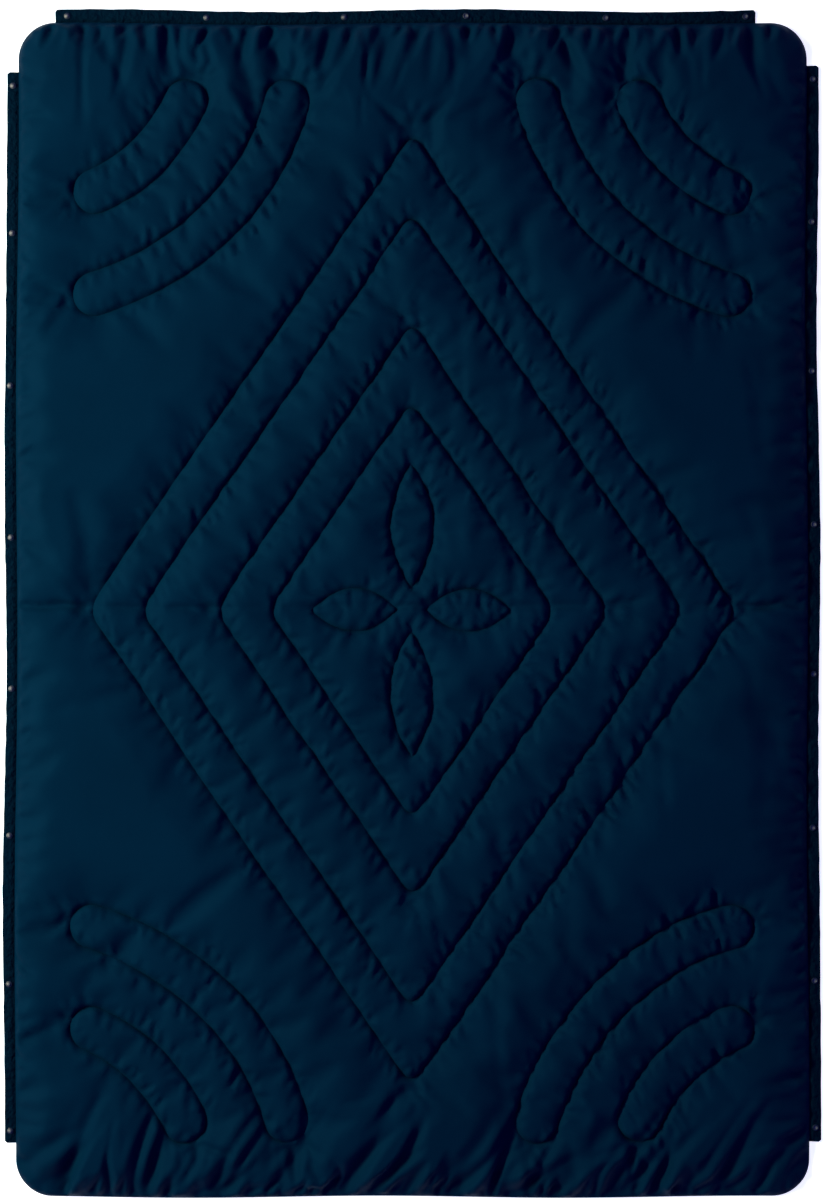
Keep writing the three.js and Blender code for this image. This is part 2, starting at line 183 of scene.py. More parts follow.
@dataclass(frozen=True)
class Gathers:
    """The short gathers of the rim, the motifs' corners and the seams, drawn with a fixed seed.

    Lengths, widths and depths are in millimetres and headings in degrees, but the pitch and the patches of
    the seams are in metres.
    """

    half_width: float = 655
    half_length: float = 976
    head: GatherRow = GatherRow(600, 22, 17, 13, 0.8)
    foot: GatherRow = GatherRow(590, 24, 16, 11, 1.0)
    left: GatherRow = GatherRow(900, 27, 11, 14, 0.2)
    right: GatherRow = GatherRow(900, 27, 11, 14, 0.45)
    head_heading: float = -102
    foot_heading: float = 56
    corner_heading: float = 82
    corner_from: float = -420
    corner_folds: tuple[Fold, ...] = (
        Fold(-618, -962, 47, 150, 15, 5),
        Fold(-586, -972, 58, 105, 12, 4.5),
        Fold(-648, -930, 33, 120, 13, 4),
    )
    least_length: float = 0.3
    more_length: float = 0.7
    long_share: float = 0.42
    long_lengths: Span = (85, 215)
    long_widths: Span = (7.5, 11.5)
    short_lengths: Span = (26, 66)
    short_widths: Span = (5, 8)
    rim_depths: Span = (4, 6.5)
    off_tip: float = 9
    tip_turns: tuple[float, ...] = (-52, -18, 15, 49)
    tip_stray: float = 9
    tip_lengths: Span = (32, 88)
    tip_widths: Span = (5.5, 9)
    tip_depths: Span = (1.6, 3.4)
    seam_pitch: float = 0.0155
    seam_stray: float = 8
    seam_square: float = 0.65
    seam_lean: float = 0.75
    seam_spread: float = 15
    seam_shift: float = 3
    seam_lengths: Span = (20, 72)
    seam_least: float = 0.6
    seam_more: float = 0.4
    seam_widths: Span = (4.2, 6.6)
    seam_depths: Span = (1.2, 3.2)
    patch: float = 0.11
    patch_middle: float = 0.52
    patch_swing: float = 0.65
    patch_right: float = 0.4
    patch_least: float = 0.15
    crease_count: int = 46
    crease_across: Span = (-60, 610)
    crease_along: Span = (-720, 860)
    crease_heading: float = -90
    crease_spread: float = 9
    crease_lengths: Span = (80, 210)
    crease_widths: Span = (8.5, 12)
    crease_depths: Span = (1.0, 2.4)
    seed: int = 61

    def folds(self, quilting: Quilting) -> list[Fold]:
        """Draws all the gathers.

        Args:
            quilting: the stitch lines.

        Returns:
            The gathers as folds.
        """
        random = np.random.default_rng(self.seed)
        return [
            *self._rim(random),
            *self._tips(random, quilting),
            *self._seams(random, quilting),
            *self._lengthwise(random),
        ]

    def _rim(self, random: np.random.Generator) -> list[Fold]:
        """Draws the gathers that run in from the rim."""
        drawn = []
        for x in self.head.places(random):
            drawn.append(self._from_rim(random, x, self.half_length, self.head_heading, self.head))
        for x in self.foot.places(random):
            heading = self.foot_heading if x > self.corner_from else self.corner_heading
            drawn.append(self._from_rim(random, x, -self.half_length, heading, self.foot))
        drawn += self.corner_folds
        for side, heading, row in ((-1, 0, self.left), (1, 180, self.right)):
            for y in row.places(random):
                drawn.append(self._from_rim(random, side * self.half_width, y, heading, row))
        return drawn

    def _from_rim(
        self, random: np.random.Generator, x: float, y: float, heading: float, row: GatherRow
    ) -> Fold:
        """Draws one gather from a place on the rim, now and then a long one."""
        is_long = random.uniform() < self.long_share
        length = random.uniform(*(self.long_lengths if is_long else self.short_lengths))
        return Fold(
            x,
            y,
            heading + random.normal(0, row.spread),
            length * (self.least_length + self.more_length * row.scale),
            random.uniform(*(self.long_widths if is_long else self.short_widths)),
            random.uniform(*self.rim_depths) * row.scale,
        )

    def _tips(self, random: np.random.Generator, quilting: Quilting) -> list[Fold]:
        """Draws the gathers that fan out from the motifs' corners."""
        drawn = []
        for x, y, heading in quilting.corners():
            for turn in self.tip_turns:
                out = math.radians(heading + turn)
                drawn.append(
                    Fold(
                        x + self.off_tip * math.cos(out),
                        y + self.off_tip * math.sin(out),
                        heading + turn + random.uniform(-self.tip_stray, self.tip_stray),
                        random.uniform(*self.tip_lengths),
                        random.uniform(*self.tip_widths),
                        random.uniform(*self.tip_depths),
                    )
                )
        return drawn

    def _seams(self, random: np.random.Generator, quilting: Quilting) -> list[Fold]:
        """Draws the creases off the stitch lines, in patches. They lean towards the blanket's length."""
        drawn = []
        patches = Noise(self.seed + 1)
        for i, loop in enumerate(quilting.loops(self.seam_pitch)):
            ahead = np.roll(loop, -1, axis=0) - loop
            for place, point, (dx, dy) in zip(np.arange(len(loop)), loop / MM, ahead / self.seam_pitch):
                across = np.array([-dy, dx]) * random.choice((-1, 1))
                is_upright = abs(across[1]) > self.patch_least
                lengthwise = math.copysign(1, across[1] if is_upright else random.uniform(-1, 1))
                rise = across[1] * self.seam_square + lengthwise * self.seam_lean
                heading = math.degrees(math.atan2(rise, across[0] * self.seam_square))
                run = np.array([place * self.seam_pitch + self.seam_shift * i])
                strength = self.patch_middle + self.patch_swing * float(patches.along(run, self.patch)[0])
                strength *= 1 + self.patch_right * point[0] / self.half_width
                if strength < self.patch_least:
                    continue
                drawn.append(
                    Fold(
                        point[0] + random.uniform(-self.seam_stray, self.seam_stray) * dx,
                        point[1] + random.uniform(-self.seam_stray, self.seam_stray) * dy,
                        heading + random.normal(0, self.seam_spread),
                        random.uniform(*self.seam_lengths) * (self.seam_least + self.seam_more * strength),
                        random.uniform(*self.seam_widths),
                        random.uniform(*self.seam_depths) * strength,
                    )
                )
        return drawn

    def _lengthwise(self, random: np.random.Generator) -> list[Fold]:
        """Draws the long soft creases that run along the blanket on its right half."""
        return [
            Fold(
                random.uniform(*self.crease_across),
                random.uniform(*self.crease_along),
                self.crease_heading + random.normal(0, self.crease_spread),
                random.uniform(*self.crease_lengths),
                random.uniform(*self.crease_widths),
                random.uniform(*self.crease_depths),
            )
            for _ in range(self.crease_count)
        ]


def smooth_step(value: np.ndarray, low: float, high: float) -> np.ndarray:
    """Returns a smooth rise from 0 at low to 1 at high."""
    share = np.clip((value - low) / (high - low), 0, 1)
    return share * share * (3 - 2 * share)


def crown(distance: np.ndarray, full: float) -> np.ndarray:
    """Returns the rise of cloth over filling, 0 at a seam and 1 from the full distance on."""
    share = np.clip(distance / full, 0, 1)
    return np.sqrt(share * (2 - share))


@dataclass(frozen=True)
class Noise:
    """Smooth random values along a line or over the plan, from -1 to 1, the same on every run."""

    seed: int
    size: int = 1024
    side: int = 128

    def along(self, place: np.ndarray, wavelength: float) -> np.ndarray:
        """Samples the noise along a line.

        Args:
            place: distances along the line.
            wavelength: the distance from one random value to the next.

        Returns:
            One value for each distance.
        """
        values = np.random.default_rng(self.seed).uniform(-1, 1, self.size)
        steps = place / wavelength
        cell = np.floor(steps).astype(int)
        share = smooth_step(steps - cell, 0, 1)
        return values[cell % self.size] * (1 - share) + values[(cell + 1) % self.size] * share

    def over(self, points: np.ndarray, wavelength: float) -> np.ndarray:
        """Samples the noise over the plan.

        Args:
            points: plan positions.
            wavelength: the distance from one random value to the next.

        Returns:
            One value for each point.
        """
        values = np.random.default_rng(self.seed).uniform(-1, 1, (self.side, self.side))
        steps = points[:, :2] / wavelength
        cell = np.floor(steps).astype(int)
        share = smooth_step(steps - cell, 0, 1)
        x, y = (cell % self.side).T
        next_x, next_y = ((cell + 1) % self.side).T
        over_x, over_y = share.T
        left = values[x, y] * (1 - over_y) + values[x, next_y] * over_y
        right = values[next_x, y] * (1 - over_y) + values[next_x, next_y] * over_y
        return left * (1 - over_x) + right * over_x


class Measured(NamedTuple):
    """What a set of lines measures at some points."""

    distance: np.ndarray
    along: np.ndarray


class Lines:
    """Closed lines of plan points, which answer how far away they are."""

    def __init__(self, loops: Sequence[np.ndarray]) -> None:
        """Takes the lines, as points that follow one another closely."""
        counts = np.array([len(loop) for loop in loops])
        firsts = np.repeat(np.cumsum(counts) - counts, counts)
        sizes = np.repeat(counts, counts)
        index = np.arange(counts.sum())
        self.starts = np.vstack(loops)
        self.before = firsts + (index - firsts - 1) % sizes
        spans = self.starts[firsts + (index - firsts + 1) % sizes] - self.starts
        self.lengths = np.linalg.norm(spans, axis=1)
        self.headings = spans / self.lengths[:, None]
        self.runs = np.cumsum(self.lengths) - self.lengths
        self.tree = KDTree(len(self.starts))
        for i, (x, y) in enumerate(self.starts.tolist()):
            self.tree.insert((x, y, 0), i)
        self.tree.balance()

    def measure(self, points: np.ndarray) -> Measured:
        """Measures the lines from some points.

        Args:
            points: plan positions.

        Returns:
            Each point's distance to the nearest line, and a place along that line that differs on its two
            sides.
        """
        near = np.array([self.tree.find((x, y, 0))[1] for x, y in points[:, :2].tolist()], dtype=int)
        ahead = self._from_segment(points, near)
        behind = self._from_segment(points, self.before[near])
        nearer = behind.distance < ahead.distance
        return Measured(
            np.where(nearer, behind.distance, ahead.distance),
            np.where(nearer, behind.along, ahead.along),
        )

    def _from_segment(self, points: np.ndarray, index: np.ndarray) -> Measured:
        """Measures one segment of the lines from each point."""
        away = points[:, :2] - self.starts[index]
        heading = self.headings[index]
        run = np.clip((away * heading).sum(1), 0, self.lengths[index])
        across = away - run[:, None] * heading
        turn = heading[:, 0] * away[:, 1] - heading[:, 1] * away[:, 0]
        side = np.where(turn > 0, self.lengths.sum(), 0)
        return Measured(np.linalg.norm(across, axis=1), self.runs[index] + run + side)


def evened(corners: np.ndarray, step: float) -> np.ndarray:
    """Spaces points evenly round a closed line.

    Args:
        corners: the line's own points.
        step: the spacing asked for.

    Returns:
        The points at the nearest spacing that closes.
    """
    closed = np.vstack([corners, corners[:1]])
    run = np.concatenate([[0], np.cumsum(np.linalg.norm(np.diff(closed, axis=0), axis=1))])
    count = max(LEAST_POINTS, round(run[-1] / step))
    places = np.linspace(0, run[-1], count, endpoint=False)
    return np.column_stack([np.interp(places, run, closed[:, axis]) for axis in (0, 1)])


def unit(angle: float) -> np.ndarray:
    """Returns the plan direction at an angle, in radians."""
    return np.array([math.cos(angle), math.sin(angle)])


def arc(centre: Sequence[float], radius: float, start: float, end: float, count: int = 48) -> np.ndarray:
    """Returns points along an arc, from one angle to another, in radians."""
    angles = np.linspace(start, end, count)
    return np.column_stack([centre[0] + radius * np.cos(angles), centre[1] + radius * np.sin(angles)])


@dataclass(frozen=True)
class Cut:
    """The blanket's cut: its outline, and how it comes to lie."""

    width: float = 1.328
    length: float = 1.970
    corner: float = 0.062
    flare: float = 0.004
    sway: float = 0.0018
    sway_pitch: float = 0.870
    end_waves: float = 1.4
    wander: float = 0.0016
    wander_pitch: float = 0.09
    quiver: float = 0.4
    quiver_pitch: float = 0.035
    wander_seeds: tuple[tuple[int, int], ...] = ((11, 12), (13, 14))
    calm_rim: float = 0.045

    def laid(self, points: np.ndarray) -> np.ndarray:
        """Moves plan positions to where they lie, with the edges' flare and sway.

        Args:
            points: plan positions.

        Returns:
            The places on the ground, centred on the cut.
        """
        side = points[:, 0] / (self.width / 2)
        end = points[:, 1] / (self.length / 2)
        turn = 2 * math.pi / self.sway_pitch
        x = points[:, 0] * (1 - self.flare * end) + self.sway * side * np.sin(turn * points[:, 1] + side)
        y = points[:, 1] + self.sway * end * np.sin(turn * points[:, 0] * self.end_waves + end)
        return np.column_stack([x, y])

    def settled(self, points: np.ndarray) -> np.ndarray:
        """Moves plan positions to where they lie, with the wander of hand-guided stitch lines too.

        Args:
            points: plan positions.

        Returns:
            The places on the ground, centred on the cut.
        """
        inside = np.minimum(
            self.width / 2 - np.abs(points[:, 0]),
            self.length / 2 - np.abs(points[:, 1]),
        )
        reach = self.wander * smooth_step(inside, 0, self.calm_rim)
        drift = np.column_stack([
            Noise(slow).over(points, self.wander_pitch)
            + self.quiver * Noise(fast).over(points, self.quiver_pitch)
            for slow, fast in self.wander_seeds
        ])
        return self.laid(points) + reach[:, None] * drift

    def outline(self, step: float, inset: float = 0) -> np.ndarray:
        """Returns points round the cut, a rectangle with round corners, moved in by an inset."""
        x = self.width / 2 - self.corner
        y = self.length / 2 - self.corner
        quarter = math.pi / 2
        centres = ((x, -y), (x, y), (-x, y), (-x, -y))
        corners = [
            arc(centre, self.corner - inset, (i - 1) * quarter, i * quarter)
            for i, centre in enumerate(centres)
        ]
        return evened(np.vstack(corners), step)


@dataclass(frozen=True)
class Quilting:
    """The stitch lines: nested lozenges round a four-petal flower, and two fan bands in each corner."""

    cut: Cut
    channel: float = 0.074
    half_across: float = 0.545
    half_along: float = 0.800
    tip: float = 0.030
    gap: float = 0.104
    petals: int = 4
    petal_root: float = 0.1
    petal_tip: float = 0.7
    petal_width: float = 0.3
    fan_radii: tuple[float, ...] = (0.312, 0.472)
    fan_inset: float = 0.130
    tip_points: int = 12
    petal_points: int = 24

    def share(self, inset: float) -> float:
        """Returns the share of the outer lozenge that is left when its sides move in by an inset."""
        side = math.hypot(self.half_across, self.half_along)
        return 1 - inset * side / (self.half_across * self.half_along)

    def insets(self) -> tuple[float, ...]:
        """Returns how far in each lozenge lies."""
        return (0, self.channel, self.channel + self.gap, 2 * self.channel + self.gap)

    def lozenge(self, inset: float) -> np.ndarray:
        """Returns the corners of one lozenge with rounded tips."""
        across = self.half_across * self.share(inset)
        along = self.half_along * self.share(inset)
        tips = np.array([(across, 0), (0, along), (-across, 0), (0, -along)])
        round_off = self.tip / math.hypot(across, along)
        share = np.linspace(0, 1, self.tip_points)[:, None]
        points = []
        for before, tip, after in zip(np.roll(tips, 1, axis=0), tips, np.roll(tips, -1, axis=0)):
            start = tip + (before - tip) * round_off
            end = tip + (after - tip) * round_off
            points.append((1 - share) ** 2 * start + 2 * share * (1 - share) * tip + share**2 * end)
        return np.vstack(points)

    def petal(self, index: int) -> np.ndarray:
        """Returns the outline of one petal, a leaf between two arcs."""
        inner = self.share(self.insets()[-1])
        reach = inner * (self.half_along if index % 2 else self.half_across)
        width = inner * self.half_across * self.petal_width
        turn = 2 * math.pi * index / self.petals
        heading = unit(turn)
        left = np.array([-heading[1], heading[0]])
        root = heading * reach * self.petal_root
        tip = heading * reach * self.petal_tip
        share = np.linspace(0, 1, self.petal_points)[:-1, None]
        sides = []
        for start, end, side in ((root, tip, 1), (tip, root, -1)):
            pull = (root + tip) / 2 + side * width * left
            sides.append((1 - share) ** 2 * start + 2 * share * (1 - share) * pull + share**2 * end)
        return np.vstack(sides)

    def fan(self, radius: float, sign_x: int, sign_y: int) -> np.ndarray:
        """Returns the outline of one fan band, a ring sector a channel wide with round ends."""
        corner = np.array([sign_x * self.cut.width / 2, sign_y * self.cut.length / 2])
        first = math.atan2(-sign_y, -sign_x) - math.pi / 4
        lean = math.asin(self.fan_inset / radius)
        start = first + lean
        end = first + math.pi / 2 - lean
        half = self.channel / 2
        cap_end = corner + radius * unit(end)
        cap_start = corner + radius * unit(start)
        return np.vstack([
            arc(corner, radius + half, start, end)[:-1],
            arc(cap_end, half, end, end + math.pi)[:-1],
            arc(corner, radius - half, end, start)[:-1],
            arc(cap_start, half, start + math.pi, start + 2 * math.pi)[:-1],
        ])

    def corners(self) -> list[tuple[float, float, float]]:
        """Returns the outer tips of the lozenge bands and the ends of the fan bands.

        Returns:
            Each one's place, in millimetres, and its heading, in degrees.
        """
        found = []
        for inset in self.insets()[::2]:
            share = self.share(inset)
            for turn in (0, 90, 180, 270):
                reach = share * (self.half_along if turn % 180 else self.half_across) / MM
                heading = math.radians(turn)
                found.append((reach * math.cos(heading), reach * math.sin(heading), turn))
        for radius in self.fan_radii:
            for sign_x in (-1, 1):
                for sign_y in (-1, 1):
                    corner = np.array([sign_x * self.cut.width / 2, sign_y * self.cut.length / 2])
                    lean = math.asin(self.fan_inset / radius)
                    first = math.atan2(-sign_y, -sign_x)
                    for turn in (lean - math.pi / 4, math.pi / 4 - lean):
                        out = first + turn + math.copysign(math.pi / 2, turn)
                        middle = corner + radius * unit(first + turn)
                        end = (middle + self.channel / 2 * unit(out)) / MM
                        found.append((end[0], end[1], math.degrees(out)))
        return found

    def loops(self, step: float) -> list[np.ndarray]:
        """Returns every closed stitch line, as plan points at a spacing."""
        shapes = [self.lozenge(inset) for inset in self.insets()]
        shapes += [self.petal(index) for index in range(self.petals)]
        for radius in self.fan_radii:
            shapes += [self.fan(radius, sign_x, sign_y) for sign_x in (-1, 1) for sign_y in (-1, 1)]
        return [evened(shape, step) for shape in shapes]


@dataclass(frozen=True)
class PlanMesh:
    """Triangles over a plan, with the plan positions that they join."""

    points: np.ndarray
    triangles: np.ndarray
    sources: np.ndarray

    @classmethod
    def over(
        cls, points: np.ndarray, edges: Sequence[tuple[int, int]], keep: Callable | None = None
    ) -> PlanMesh:
        """Joins plan points by Delaunay triangles.

        Args:
            points: plan positions, with the rim's among them.
            edges: pairs of points that an edge has to join.
            keep: takes the triangles' middles and says which to keep.

        Returns:
            The mesh, with each point's index among those given in sources.
        """
        places, _, faces, origins, _, _ = delaunay_2d_cdt(
            [Vector(point) for point in points.tolist()], list(edges), [], 0, SAME_PLACE, True
        )
        flat = np.array([tuple(place) for place in places])
        triangles = np.array([face for face in faces if len(face) == 3])
        a, b, c = (flat[triangles[:, corner]] for corner in range(3))
        area = ((b - a)[:, 0] * (c - a)[:, 1] - (b - a)[:, 1] * (c - a)[:, 0]) / 2
        kept = area > SLIVER_AREA
        if keep is not None:
            kept &= keep((a + b + c) / 3)
        sources = np.array([origin[0] if origin else -1 for origin in origins])
        return cls(flat, triangles[kept], sources)

    def where(self) -> np.ndarray:
        """Returns the mesh's index of each point that was given."""
        found = np.zeros(self.sources.max() + 1, dtype=int)
        known = self.sources >= 0
        found[self.sources[known]] = np.nonzero(known)[0]
        return found


def ring_edges(rings: Sequence[np.ndarray]) -> tuple[list[tuple[int, int]], list[tuple[int, int]]]:
    """Numbers the points of rings, one ring after another.

    Args:
        rings: the points of each.

    Returns:
        The edges round them, and for each ring its first index and the one past its last.
    """
    edges = []
    spans = []
    first = 0
    for ring in rings:
        count = len(ring)
        edges += [(first + i, first + (i + 1) % count) for i in range(count)]
        spans.append((first, first + count))
        first += count
    return edges, spans


def inside_ring(points: np.ndarray, ring: np.ndarray) -> np.ndarray:
    """Says which points lie inside a closed ring."""
    inside = np.zeros(len(points), dtype=bool)
    for a, b in zip(ring, np.roll(ring, -1, axis=0)):
        if a[1] == b[1]:
            continue
        crosses = (a[1] > points[:, 1]) != (b[1] > points[:, 1])
        crosses &= points[:, 0] < a[0] + (points[:, 1] - a[1]) * (b[0] - a[0]) / (b[1] - a[1])
        inside ^= crosses
    return inside


def new_piece(name: str, verts: np.ndarray, faces: Sequence, smooth: bool = True) -> bpy.types.Object:
    """Makes a mesh object at the origin.

    Args:
        name: the piece's name.
        verts: its points, in the row's frame.
        faces: the corners of each face.
        smooth: whether its faces are shaded smooth.

    Returns:
        The new object.
    """
    mesh = bpy.data.meshes.new(name)
    mesh.from_pydata(np.asarray(verts).tolist(), [], [tuple(int(i) for i in face) for face in faces])
    mesh.validate()
    mesh.polygons.foreach_set("use_smooth", [smooth] * len(mesh.polygons))
    mesh.update()
    piece = bpy.data.objects.new(name, mesh)
    bpy.context.collection.objects.link(piece)
    return piece


def mesh_points(mesh: bpy.types.Mesh) -> np.ndarray:
    """Returns a mesh's points as an array."""
    flat = np.empty(len(mesh.vertices) * 3)
    mesh.vertices.foreach_get("co", flat)
    return flat.reshape(-1, 3)


def only(piece: bpy.types.Object) -> None:
    """Selects one object alone and makes it active."""
    bpy.ops.object.select_all(action="DESELECT")
    piece.select_set(True)
    bpy.context.view_layer.objects.active = piece


def round_edges(piece: bpy.types.Object, width: float, angle: float) -> None:
    """Rounds the edges that turn by more than an angle, in degrees."""
    only(piece)
    bevel = piece.modifiers.new("round_over", "BEVEL")
    bevel.width = width
    bevel.segments = 2
    bevel.limit_method = "ANGLE"
    bevel.angle_limit = math.radians(angle)
    bpy.ops.object.modifier_apply(modifier=bevel.name)


class Wire:
    """A shader socket that takes part in arithmetic, each step of which adds a Math node."""

    def __init__(self, graph: Graph, socket: bpy.types.NodeSocket) -> None:
        """Wraps a socket of a graph."""
        self.graph = graph
        self.socket = socket

    def math(self, operation: str, *values: Wire | float) -> Wire:
        """Returns the Math node's value of an operation on this socket and others."""
        inputs = {0: self, **dict(enumerate(values, 1))}
        return self.graph.node("ShaderNodeMath", {"operation": operation}, inputs)

    def __add__(self, other: Wire | float) -> Wire:
        """Returns the sum."""
        return self.math("ADD", other)

    __radd__ = __add__

    def __mul__(self, other: Wire | float) -> Wire:
        """Returns the product."""
        return self.math("MULTIPLY", other)

    __rmul__ = __mul__

    def __sub__(self, other: Wire | float) -> Wire:
        """Returns the difference."""
        return self.math("SUBTRACT", other)

    def __rsub__(self, other: float) -> Wire:
        """Returns a number less this value."""
        return self.graph.node("ShaderNodeMath", {"operation": "SUBTRACT"}, {0: other, 1: self})

    def part(self, name: str) -> Wire:
        """Returns another output of the same node."""
        return Wire(self.graph, self.socket.node.outputs[name])


class Graph:
    """The node tree of one material."""

    def __init__(self, name: str, shader: dict[str, object]) -> None:
        """Starts a material of one Principled shader.

        Args:
            name: the material's name.
            shader: the values of the shader's sockets that are the same all over.
        """
        self.material = bpy.data.materials.new(name)
        self.material.use_nodes = True
        self.nodes = self.material.node_tree.nodes
        self.links = self.material.node_tree.links
        self.shader = self.nodes["Principled BSDF"]
        for socket, value in shader.items():
            self.shader.inputs[socket].default_value = value

    def node(
        self,
        kind: str,
        settings: dict[str, object] | None = None,
        inputs: dict[str | int, object] | None = None,
        output: str | int = 0,
    ) -> Wire:
        """Adds a node.

        Args:
            kind: the node's type.
            settings: its own settings, set first. stops are a colour ramp's.
            inputs: values or wires for its sockets, by name or number.
            output: the output socket to return.

        Returns:
            The wire from that output.
        """
        made = self.nodes.new(kind)
        for name, value in (settings or {}).items():
            if name == "stops":
                self._set_stops(made.color_ramp, value)
            else:
                setattr(made, name, value)
        for socket, value in (inputs or {}).items():
            self.feed(made.inputs[socket], value)
        return Wire(self, made.outputs[output])

    def feed(self, socket: bpy.types.NodeSocket, value: object) -> None:
        """Links a wire to a socket, or sets the socket's value."""
        if isinstance(value, Wire):
            self.links.new(value.socket, socket)
        else:
            socket.default_value = value

    def finish(self, **surface: Wire) -> bpy.types.Material:
        """Links what varies over the surface, such as base_color to Base Color, and returns the material."""
        for name, wire in surface.items():
            self.feed(self.shader.inputs[name.replace("_", " ").title()], wire)
        return self.material

    @staticmethod
    def _set_stops(ramp: bpy.types.ColorRamp, stops: Sequence[tuple[float, float]]) -> None:
        """Gives a ramp its grey stops, as pairs of place and value."""
        while len(ramp.elements) < len(stops):
            ramp.elements.new(0.5)
        for element, (place, value) in zip(ramp.elements, stops):
            element.position = place
            element.color = (value, value, value, 1)

    def place(self) -> Wire:
        """Returns the Object coordinates."""
        return self.node("ShaderNodeTexCoord", output="Object")

    def noise(self, size: float, detail: float = 2, stretch: Triple = (1, 1, 1)) -> Wire:
        """Returns noise whose features are about size metres across, longer where stretch is below 1."""
        mapped = self.node("ShaderNodeMapping", inputs={"Vector": self.place(), "Scale": stretch})
        return self.node("ShaderNodeTexNoise", inputs={"Vector": mapped, "Scale": 1 / size, "Detail": detail})

    def blend(self, share: Wire, first: Sequence[float], second: Sequence[float]) -> Wire:
        """Returns the colour between two colours, by a share."""
        return self.node(
            "ShaderNodeMix",
            {"data_type": "RGBA"},
            {0: share, 6: (*first, 1), 7: (*second, 1)},
            output=2,
        )

    def bump(self, height: Wire, distance: float, strength: float = 1, under: Wire | None = None) -> Wire:
        """Returns normals bumped by a height of 0 to 1 over a distance in metres, on top of others."""
        inputs = {"Height": height, "Distance": distance, "Strength": strength}
        if under is not None:
            inputs["Normal"] = under
        return self.node("ShaderNodeBump", inputs=inputs)


SOFT_GLOSS = {"Specular IOR Level": 0.03, "Specular Tint": (0.05, 0.5, 1.0, 1)}
SHEEN_TINT = (0.02, 0.3, 0.7, 1)


@dataclass(frozen=True)
class ShellFinish:
    """Fine plain-weave nylon in deep petrol blue, a little crumpled and cloudy."""

    deep: Triple = (0.0003, 0.0108, 0.0255)
    pale: Triple = (0.0004, 0.0140, 0.0320)
    sheen: float = 0.05
    sheen_roughness: float = 0.4
    cloud_size: float = 0.16
    cloud_share: float = 0.75
    cloud_roughness: float = 0.16
    grain_size: float = 0.0022
    grain_share: float = 0.25
    grain_roughness: float = 0.10
    tone_from: float = 0.3
    tone_gain: float = 2.2
    crumple_size: float = 0.013
    crumple_stretch: Triple = (1.0, 0.7, 1.0)
    crumple_depth: float = 0.0009
    crumple_strength: float = 0.22
    thread_pitch: float = 0.0005
    thread_depth: float = 0.00008
    thread_strength: float = 0.5
    roughness: float = 0.42

    def material(self) -> bpy.types.Material:
        """Builds the shell cloth's material."""
        graph = Graph(
            "shell_cloth",
            {
                **SOFT_GLOSS,
                "Sheen Weight": self.sheen,
                "Sheen Roughness": self.sheen_roughness,
                "Sheen Tint": SHEEN_TINT,
            },
        )
        cloudy = graph.noise(self.cloud_size, NOISE_DETAIL)
        grain = graph.noise(self.grain_size, 2)
        crumple = graph.noise(self.crumple_size, NOISE_DETAIL, self.crumple_stretch)
        tone = (cloudy * self.cloud_share + grain * self.grain_share - self.tone_from) * self.tone_gain
        crumpled = graph.bump(crumple, self.crumple_depth, self.crumple_strength)
        return graph.finish(
            base_color=graph.blend(tone.math("MINIMUM", 1).math("MAXIMUM", 0), self.deep, self.pale),
            roughness=cloudy * self.cloud_roughness + grain * self.grain_roughness + self.roughness,
            normal=graph.bump(self._weave(graph), self.thread_depth, self.thread_strength, crumpled),
        )

    def _weave(self, graph: Graph) -> Wire:
        """Returns the height of a plain weave."""
        axes = graph.node("ShaderNodeSeparateXYZ", inputs={0: graph.place()}, output="X")
        turn = 2 * math.pi / self.thread_pitch
        warp = (axes * turn).math("SINE")
        weft = (axes.part("Y") * turn).math("SINE")
        return warp * weft * 0.5 + 0.5


@dataclass(frozen=True)
class TapeFinish:
    """Folded strip of the shell's cloth with small ripples across it, coloured a little darker than the shell
    as painted shade.
    """

    # Painted shade: the tapes are the shell's own cloth, and these colours are darkened to stand for the
    # shade that falls on them beside the rim.
    deep: Triple = (0.0003, 0.0030, 0.0080)
    pale: Triple = (0.0006, 0.0095, 0.0200)
    worn_size: float = 0.012
    worn_share: float = 0.8
    worn_roughness: float = 0.15
    rib_share: float = 0.2
    rib_pitch: float = 0.0011
    rib_depth: float = 0.00012
    rib_strength: float = 0.5
    ripple_size: float = 0.0075
    ripple_depth: float = 0.0045
    roughness: float = 0.55

    def material(self) -> bpy.types.Material:
        """Builds the tapes' material."""
        graph = Graph("tape_cloth", {**SOFT_GLOSS, "Sheen Tint": SHEEN_TINT})
        axes = graph.node("ShaderNodeSeparateXYZ", inputs={0: graph.place()}, output="X")
        turn = 2 * math.pi / self.rib_pitch
        rib = ((axes + axes.part("Y")) * turn).math("SINE") * 0.5 + 0.5
        worn = graph.noise(self.worn_size, NOISE_DETAIL)
        rippled = graph.bump(graph.noise(self.ripple_size, 2), self.ripple_depth)
        return graph.finish(
            base_color=graph.blend(worn * self.worn_share + rib * self.rib_share, self.deep, self.pale),
            roughness=worn * self.worn_roughness + self.roughness,
            normal=graph.bump(rib, self.rib_depth, self.rib_strength, rippled),
        )


@dataclass(frozen=True)
class ThreadFinish:
    """Twisted sewing thread, a shade darker than the shell."""

    deep: Triple = (0.0003, 0.0050, 0.0135)
    pale: Triple = (0.0004, 0.0095, 0.0225)
    twist_size: float = 0.0006
    twist_depth: float = 0.0001
    twist_strength: float = 0.5
    twist_roughness: float = 0.1
    roughness: float = 0.5

    def material(self) -> bpy.types.Material:
        """Builds the thread's material."""
        graph = Graph("thread", SOFT_GLOSS)
        twist = graph.noise(self.twist_size, 1)
        return graph.finish(
            base_color=graph.blend(twist, self.deep, self.pale),
            roughness=twist * self.twist_roughness + self.roughness,
            normal=graph.bump(twist, self.twist_depth, self.twist_strength),
        )


